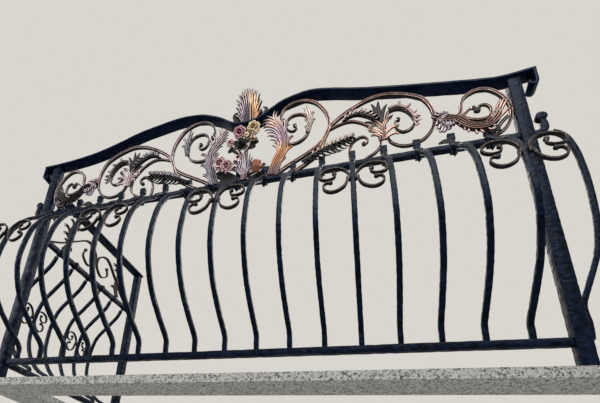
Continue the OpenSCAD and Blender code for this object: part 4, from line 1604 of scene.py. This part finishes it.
            petals.append(self.bar(lip, side, 8, 7, 0.8, 0.8, lift=self.leaf_lift + 5))
            self.add_leaves(f"calyx_petals_{side.value}", petals, lobes, "calyx_flowers")
        self.add_leaves("calyx_spikes", dark, self.finishes.black, "calyx_flowers",
                        "calyx_fringes")

    def spiral_leaves(self) -> None:
        """Beat the buds on the crest spirals and the leaves on the wave spirals."""
        bud: Path = [(258, 200), (267, 240), (264, 290)]
        fronds = ((1, 0, 0, 30, 62, 17), (0.8, -5, 0, -70, 40, 13), (0.5, -5, 0, -80, 34, 12),
                  (0.6, 4, 0, 90, 30, 12), (0.2, 4, 0, 90, 28, 12))
        leaf: Path = [(560, 236), (590, 244), (622, 222), (641, 186)]
        lobes = ((0.3, 3, 0, 90, 26, 12), (0.6, 3, 0, 85, 28, 12), (0.85, 3, 0, 80, 26, 12),
                 (1, 0, 0, 20, 34, 13))
        for side, finish in ((Side.RIGHT, self.finishes.tips), (Side.LEFT, self.finishes.ash)):
            parts = self.leaf(bud, fronds, side) + self.leaf(leaf, lobes, side)
            parts += self.leaf([(624, 218), (642, 184), (647, 148)], lobes[1:], side, 1)
            half = side.value
            self.add_leaves(f"spiral_leaves_{half}", parts, finish, f"crest_spiral_{half}",
                            f"wave_spiral_{half}")

    def centre_leaves(self) -> None:
        """Beat the two tall acanthus plants beside the bouquet."""
        right: Path = [(124, 4), (144, 83), (164, 135), (164, 194), (148, 249), (128, 290)]
        bright = ((1, 0, 0, 50, 60, 15), (0.96, 7, 0, 90, 68, 15), (0.84, 12, 0, 100, 86, 15),
                  (0.7, 15, 0, 104, 96, 15), (0.56, 17, 0, 104, 98, 15),
                  (0.42, 17, 0, 104, 92, 15), (0.28, 15, 0, 96, 76, 14),
                  (1, -5, 0, -60, 66, 14), (0.86, -10, 0, -100, 50, 14),
                  (0.7, -13, 0, -105, 46, 13), (0.52, -14, 0, -105, 44, 13),
                  (0.34, -14, 0, -100, 46, 13), (0.16, -11, 0, -80, 50, 13))
        left: Path = [(118, 4), (134, 60), (148, 124), (148, 183), (131, 226), (114, 262)]
        dusk = ((1, 0, 0, 40, 62, 15), (0.96, 7, 0, 84, 58, 15), (1, -5, 0, -60, 64, 14),
                (0.86, -10, 0, -92, 66, 14), (0.7, -13, 0, -100, 60, 14),
                (0.52, -14, 0, -105, 50, 13), (0.34, -14, 0, -100, 48, 13),
                (0.16, -12, 0, -80, 50, 13), (0.8, 12, 0, 94, 66, 14),
                (0.62, 15, 0, 96, 68, 14), (0.44, 15, 0, 96, 56, 13))
        sheets = []
        for side, spine, rows, finish in (
                (Side.RIGHT, right, bright, self.finishes.sunrise),
                (Side.LEFT, left, dusk, self.finishes.dusk)):
            self.add_leaves(f"centre_acanthus_{side.value}", self.leaf(spine, rows, side),
                            finish, "centre_acanthus")
            # Dark sheets behind both acanthus plants: painted shade between their strands.
            sheets.append(self.shade_backing(spine, 40, side))
        self.add_leaves("centre_acanthus_shade_sheets", sheets, self.finishes.dark,
                        "centre_acanthus")

    def build(self) -> None:
        """Build the whole frieze but its bouquet."""
        self.scrolls()
        self.end_leaves()
        self.fern()
        self.fringe()
        self.spiral_leaves()
        self.centre_leaves()


@dataclass(frozen=True)
class Whorl:
    """One ring of a flower's petals, its sizes as shares of the flower's radius."""

    count: int
    length: float
    width: float
    rise: float
    curl: float


ROSE = (Whorl(3, 0.46, 0.5, 84, 50), Whorl(5, 0.62, 0.66, 76, 30), Whorl(6, 0.86, 0.74, 62, -20),
        Whorl(7, 1.04, 0.8, 40, -46), Whorl(6, 0.98, 0.7, 12, -30))
POPPY = (Whorl(6, 1.0, 0.74, 34, -20), Whorl(5, 0.6, 0.5, 56, 20), Whorl(4, 0.3, 0.2, 80, 0))
TRUMPET = (Whorl(6, 1.0, 0.4, 54, -70), Whorl(5, 0.7, 0.08, 74, -16))
BUD = (Whorl(5, 1.0, 0.6, 86, 30), Whorl(5, 0.86, 0.56, 66, -10), Whorl(4, 0.6, 0.5, 40, -40))
DOUBLE = (*ROSE[:3], Whorl(9, 1.0, 0.46, 46, -30), Whorl(9, 0.96, 0.4, 22, -20))


@dataclass
class Bouquet:
    """Roses, lily, bud and stem in the middle of the frieze, and the leaf on top."""

    finishes: Finishes
    smith: LeafSmith

    def petal(self, length: float, width: float, curl: float, blade: Blade) -> Piece:
        """Beat one petal and cup it, in millimetres along X with its face towards +Z.

        Args:
            length: The petal's length.
            width: Its width.
            curl: How far it is cupped, in degrees, or rolled back if less than 0.
            blade: Its shape.

        Returns:
            The petal.
        """
        on_edge = Matrix.Rotation(math.pi / 2, 4, "X")
        petal = twin(self.smith.pattern(blade), on_edge @ Matrix.Diagonal(
            (length / self.smith.length, width / self.smith.width, 0.7, 1)))
        petal.hide_render = False
        bend(petal, smooth([(0, 0)] + free_end((0, 0), 0, -curl, length), 3))
        petal.data.transform(on_edge.inverted())
        return petal

    def flower(self, x: float, y: float, h: float, radius: float, whorls: tuple[Whorl, ...],
               tilt: float, seed: int, blade: Blade = Blade.PETAL) -> list[Piece]:
        """Set a flower together from its whorls.

        Args:
            x: Its place along the frieze.
            y: Its place towards the house.
            h: Its height above the frieze rail.
            radius: Its size.
            whorls: Its rings of petals, the innermost first.
            tilt: How far it nods from looking straight up, in degrees.
            seed: Seed of its unevenness.
            blade: The petals' shape.

        Returns:
            Its petals.
        """
        chance = random.Random(seed)
        place_at = (Matrix.Scale(MM, 4) @ Matrix.Translation((x, y, FRIEZE_Z + h))
                    @ Matrix.Rotation(math.radians(tilt), 4, "X"))
        petals = []
        for whorl in whorls:
            for k in range(whorl.count):
                spin = 360 * k / whorl.count + 25 * whorl.count + chance.uniform(-10, 10)
                rise = whorl.rise + chance.uniform(-7, 7)
                petal = self.petal(radius * whorl.length, radius * whorl.width, whorl.curl,
                                   blade)
                place(petal, place_at @ Matrix.Rotation(math.radians(spin), 4, "Z")
                      @ Matrix.Rotation(math.radians(-rise), 4, "Y"))
                petals.append(petal)
        return petals

    def add_piece(self, name: str, parts: list[Piece], finish: Material, node: str,
                  slot: Slot = Slot.COPPER) -> None:
        """Finish a flower, leaf or twig with its edges softened."""
        finish_piece(name, parts, slot, finish, node, angle=50)

    def build(self) -> None:
        """Build the bouquet and the finial."""
        look = self.finishes
        low = self.flower(-96, -18, 106, 36, DOUBLE, 112, 1)
        low += self.flower(-64, -22, 82, 33, DOUBLE, 116, 8)
        self.add_piece("bouquet_roses_beaten", low + self.flower(-62, -16, 218, 21, ROSE, 110, 3),
                       look.rose, "bouquet_roses")
        for name, place_at, radius, whorls, tilt, seed, finish in (
                ("top_rose", (-22, -18, 266), 31, ROSE, 112, 2, look.wine),
                ("cream_rose", (37, -18, 280), 30, ROSE, 112, 4, look.cream),
                ("poppy", (-12, -14, 190), 40, POPPY, 100, 5, look.poppy)):
            self.add_piece(f"bouquet_{name}_beaten",
                           self.flower(*place_at, radius, whorls, tilt, seed), finish,
                           "bouquet_roses")
        lily = self.flower(26, -14, 244, 40, TRUMPET, 150, 6, Blade.TONGUE)
        hanging: tuple[Path, ...] = (
            [(26, 262), (40, 236), (48, 204)], [(22, 262), (12, 256), (2, 238)],
            [(30, 262), (48, 250), (60, 226)], [(26, 262), (29, 238), (30, 210)],
            [(24, 262), (16, 244), (10, 220)])
        for k, path in enumerate(hanging):
            lily.append(self.smith.cut(Blade.TONGUE, path, 13, 5, FRIEZE, 24 + 1.5 * (k % 3)))
        self.add_piece("bouquet_lily_beaten", lily, look.cream, "bouquet_lily")
        self.add_piece("bouquet_bud_beaten", self.flower(64, -30, 28, 50, BUD, 12, 7), look.gold,
                       "bouquet_bud")
        self.stem()
        self.shade_leaves()
        self.finial()

    def stem(self) -> None:
        """Beat the fluted stem and forge the twigs that carry the flowers."""
        spine: Path = [(6, 6), (6, 26), (5, 44)]
        rows = ((1, 0, 0, 0, 112, 13), (1, 3, 4, 0, 106, 13), (1, -3, -5, 0, 108, 13),
                (0.9, 6, 10, 0, 96, 13), (0.9, -6, -10, 0, 96, 13), (0.8, 8, 17, 30, 84, 13),
                (0.8, -8, -15, -30, 84, 13), (0.7, 9, 26, 60, 70, 12), (0.7, -9, -24, -60, 66, 12))
        parts = self.smith.fronds(rows, spine, FRIEZE, 6, 11, 3, 1.6)
        self.add_piece("bouquet_stem_beaten", parts, self.finishes.lavender, "bouquet_stem")
        twigs: tuple[Path, ...] = (
            [(0, 4), (1, 90), (0, 170), (-4, 230), (-20, 266)], [(1, 70), (-34, 98), (-80, 96)],
            [(1, 120), (-30, 176), (-62, 218)], [(0, 170), (24, 226), (37, 278)],
            [(0, 20), (30, 48), (64, 56)],
            [(-2, 96), (-18, 120), (-36, 132), (-40, 146), (-28, 156), (-14, 148), (-20, 136)])
        bars = [scroll_bar(path, FRIEZE, SMALL_T, SCROLL_D - 2, 1.0, 0.8, grooved=False)
                for path in twigs]
        self.add_piece("bouquet_twigs_forged", bars, self.finishes.copper, "bouquet_stem")

    def shade_leaves(self) -> None:
        """Beat the dark leaves behind and under the flowers, which partly stand as painted shade.
        """
        rows = (((-20, 20), (-54, 40), (-92, 46), (-118, 62)), ((-16, 14), (-60, 18), (-104, 26)),
                ((-30, 40), (-66, 60), (-110, 88)), ((-6, 96), (-24, 104), (-40, 98)),
                ((4, 84), (22, 94), (34, 88)), ((20, 24), (52, 24), (88, 40)),
                ((24, 40), (60, 66), (92, 84)), ((8, 180), (26, 190), (46, 190)),
                ((4, 190), (28, 208), (58, 214)), ((-22, 200), (-52, 196), (-74, 180)),
                ((-8, 60), (-28, 104), (-42, 134)), ((12, 56), (34, 88), (54, 106)),
                ((60, 24), (86, 46), (112, 60)), ((-40, 30), (-76, 66), (-120, 74)),
                ((-10, 150), (-34, 176), (-58, 200)), ((4, 214), (10, 246), (-2, 274)))
        parts = [self.smith.cut(Blade.PETAL, list(row), 27, 5, FRIEZE, 4) for row in rows]
        self.add_piece("bouquet_leaves_beaten", parts, self.finishes.dark, "bouquet_stem")

    def finial(self) -> None:
        """Beat the tall leaf on the handrail, its painted shade and the small leaves at its foot.
        """
        plane = Plane((8, 0, 1177), (1, 0, 0))
        spine: Path = [(0, -2), (0, 40), (-2, 80), (-6, 120)]
        tall = ((1, 4, 0, 4, 100, 16), (0.96, 12, 1, 8, 104, 16), (0.9, 20, 2, 10, 104, 16),
                (0.7, 26, 3, 24, 110, 16), (0.5, 29, 6, 40, 80, 15), (0.24, 29, 12, 70, 56, 14))
        small = ((1, 0, 0, -110, 44, 18), (0.7, -4, 0, -60, 42, 15), (0.4, 4, 0, -40, 34, 15))
        shade = []
        for sign, name, finish in ((1, "left", self.finishes.finial_left),
                                   (-1, "right", self.finishes.finial_right)):
            rows = tuple((leave, sign * offset, sign * fork, sign * turn, reach, width)
                         for leave, offset, fork, turn, reach, width in tall)
            self.add_piece(f"finial_{name}_beaten",
                           self.smith.fronds(rows, spine, plane, 6, 4, 4, 1.5), finish,
                           "finial_leaf")
            # Dark strands just behind the coloured ones: painted shade in the gaps between them.
            behind = tuple((leave, offset + sign * 4, fork, turn, reach * 0.85, width)
                           for leave, offset, fork, turn, reach, width in rows)
            shade += self.smith.fronds(behind, spine, plane, 6, -1, whole=True)
        self.add_piece("finial_painted_shade_beaten", shade, self.finishes.black, "finial_leaf")
        leaves = []
        for sign in (1, -1):
            foot = [(-sign * 12, 0), (-sign * 34, 20), (-sign * 58, 42), (-sign * 70, 68)]
            for leave, offset, fork, turn, reach, width in small:
                frond = Frond(leave, sign * offset, fork, sign * turn, reach, width)
                leaves.append(self.smith.cut(Blade.PETAL, frond.path(foot), width, 6, plane, -6))
        self.add_piece("finial_side_leaves_beaten", leaves, self.finishes.dark,
                       "finial_side_leaves", Slot.IRON)


@dataclass
class BarScrolls:
    """Back to back scrolls on the bellies of the bars."""

    finishes: Finishes
    upper: Path = field(default_factory=lambda: [
        (10.8, -18), (10.8, 10), (22, 34), (41, 50), (63, 53), (84, 46), (97, 30), (96, 9),
        (81, -2), (62, 0), (51, 12), (54, 27)])
    lower: Path = field(default_factory=lambda: [
        (16.5, -5), (17, -18), (21, -34), (30, -50), (47, -63), (65, -65), (81, -54), (87, -35),
        (80, -19), (66, -17)])
    lean: float = 13.0

    def pair(self, plane: Plane, size: float) -> list[Piece]:
        """Forge the four scrolls of one set.

        Args:
            plane: The set's drawing plane.
            size: Its scale.

        Returns:
            The parts.
        """
        parts = []
        for sign in (1, -1):
            for path in (self.upper, self.lower):
                line = [(x * sign * size, z * size) for x, z in path]
                parts.append(scroll_bar(line, plane, 6, 12, 0.9, 0.7, (0, 7), -2.3, 31))
        return parts

    def build(self) -> None:
        """Build the sets of the front and the return."""
        lean = math.radians(self.lean)
        up = (0.0, math.sin(lean), math.cos(lean))
        back = tuple(-v for v in RETURN_ALONG)
        front = [Plane((BAR_FIRST + k * BAR_PITCH, -240, BOTTOM_Z + 472), (1, 0, 0), up)
                 for k in range(0, BAR_COUNT, 4)]
        beside = [Plane(return_point(RETURN_FIRST + k * RETURN_PITCH, 194.5, BOTTOM_Z + 360), back)
                  for k in (1, 4)]
        for name, planes, size in (("front", front, 1.0), ("return", beside, 0.9)):
            node = "bar_scrolls_" + name
            finish_piece(node + "_forged",
                         [part for plane in planes for part in self.pair(plane, size)],
                         Slot.SCROLL, self.finishes.scrolls, node)


@dataclass
class ReturnFrieze:
    """Scrolls and leaves between the return's rails."""

    finishes: Finishes
    smith: LeafSmith

    def across(self, path: Path) -> Path:
        """Return a path mirrored about the middle of the return."""
        return [(RETURN_SPAN - x, z) for x, z in path]

    def build(self) -> None:
        """Build the return's frieze, drawn from the wall post towards the street."""
        tone = self.finishes.copper_left
        plane = Plane(return_point(RETURN_SPAN, 0, BOTTOM_Z + RETURN_FRIEZE),
                      tuple(-v for v in RETURN_ALONG))
        curl: Path = [(66, 16), (140, 60), (230, 130), (320, 190), (390, 160), (400, 100),
                      (350, 60), (300, 90), (310, 130)]
        bars = [scroll_bar(path, plane, SMALL_T, SCROLL_D, 0.9, 0.6, (0, 9))
                for path in (curl, self.across(curl))]
        finish_piece("return_scrolls_forged", bars, Slot.SCROLL, tone, "return_scrolls")
        spine: Path = [(165, 20), (195, 80), (185, 150), (205, 200)]
        rows = ((1, 0, 0, 40, 56, 14), (0.85, 6, 0, 110, 66, 13), (0.65, 9, 0, 120, 66, 13),
                (0.45, 11, 0, 120, 62, 13), (0.25, 11, 0, 110, 54, 13), (0.9, -6, 0, -100, 60, 13),
                (0.7, -9, 0, -115, 62, 13), (0.45, -10, 0, -120, 56, 13),
                (0.25, -11, 0, -110, 50, 13))
        leaves = self.smith.fronds(rows, spine, plane, 6, 10, fits=(list, self.across))
        finish_piece("return_acanthus_beaten", leaves, Slot.COPPER, tone, "return_acanthus")


@dataclass
class Studio:
    """Camera, pale floor and soft light."""

    eye: Triple = (0.4266, -1.352, -0.4481)
    right: Triple = (0.93838367, 0.33100816, 0.09934629)
    down: Triple = (-0.05027601, 0.41515693, -0.90835954)
    ahead: Triple = (-0.34191872, 0.84739502, 0.40621825)
    lens_mm: float = 27.0
    shift: tuple[float, float] = (0.1683, 0.2174)
    floor_z: float = -1.3
    backdrop: str = "#d9d6cf"

    def camera(self) -> None:
        """Stand the camera below the railing, as the picture was taken."""
        data = bpy.data.cameras.new("camera")
        data.lens = self.lens_mm
        data.sensor_width = 36.0
        data.shift_x, data.shift_y = self.shift
        camera = bpy.data.objects.new("camera", data)
        bpy.context.scene.collection.objects.link(camera)
        axes = Matrix((Vector(self.right), -Vector(self.down), -Vector(self.ahead)))
        camera.matrix_world = Matrix.Translation(self.eye) @ axes.transposed().to_4x4()
        bpy.context.scene.camera = camera

    def floor(self) -> None:
        """Lay the pale floor under the camera."""
        clear_selection()
        bpy.ops.mesh.primitive_plane_add(size=30, location=(0, 0, self.floor_z))
        floor = bpy.context.object
        floor.name = "floor"
        floor.data.materials.append(PaleFloor().build())

    def light(self) -> None:
        """Hang soft lamps and set the pale surroundings."""
        for name, place_at, aim, size, power in (
                ("sky", (0.6, -2.6, 3.6), (0, 0, 0.6), 3.5, 140),
                ("side", (-3.4, -1.6, 1.6), (-0.3, 0, 0.8), 2.0, 45),
                ("back", (1.5, 3.0, 3.2), (0, 0, 0.9), 2.5, 50)):
            data = bpy.data.lights.new(name, "AREA")
            data.energy = power
            data.size = size
            lamp = bpy.data.objects.new(name, data)
            bpy.context.scene.collection.objects.link(lamp)
            lamp.location = place_at
            lamp.rotation_euler = (Vector(aim) - Vector(place_at)).to_track_quat(
                "-Z", "Y").to_euler()
        world = bpy.data.worlds.new("surroundings")
        bpy.context.scene.world = world
        world.use_nodes = True
        tree = world.node_tree
        tree.nodes.clear()
        path = add(tree, "LightPath")
        dim = add(tree, "Background", {"Color": srgb("#c8ccd4"), "Strength": 0.5})
        pale = add(tree, "Background", {"Color": srgb(self.backdrop)})
        seen = path.outputs["Is Camera Ray"]
        for ray in ("Is Glossy Ray", "Is Transmission Ray"):
            seen = add(tree, "Math", {"operation": "MAXIMUM"},
                       {0: seen, 1: path.outputs[ray]}).outputs["Value"]
        mix = add(tree, "MixShader", links={0: seen, 1: dim.outputs[0], 2: pale.outputs[0]})
        add(tree, "OutputWorld", links={"Surface": mix.outputs[0]})
        bpy.context.scene.view_settings.view_transform = "Standard"

    def build(self) -> None:
        """Set up the studio."""
        self.camera()
        self.floor()
        self.light()


def main() -> None:
    """Build the railing in order."""
    logging.basicConfig(level=logging.INFO, format="%(message)s")
    Studio().build()
    finishes = Finishes()
    Structure(finishes).build()
    BellyBars(finishes).build()
    smith = LeafSmith()
    Frieze(finishes, smith).build()
    Bouquet(finishes, smith).build()
    BarScrolls(finishes).build()
    ReturnFrieze(finishes, smith).build()
    smith.clear()
    Coping(finishes).build()


if __name__ == "__main__":
    main()
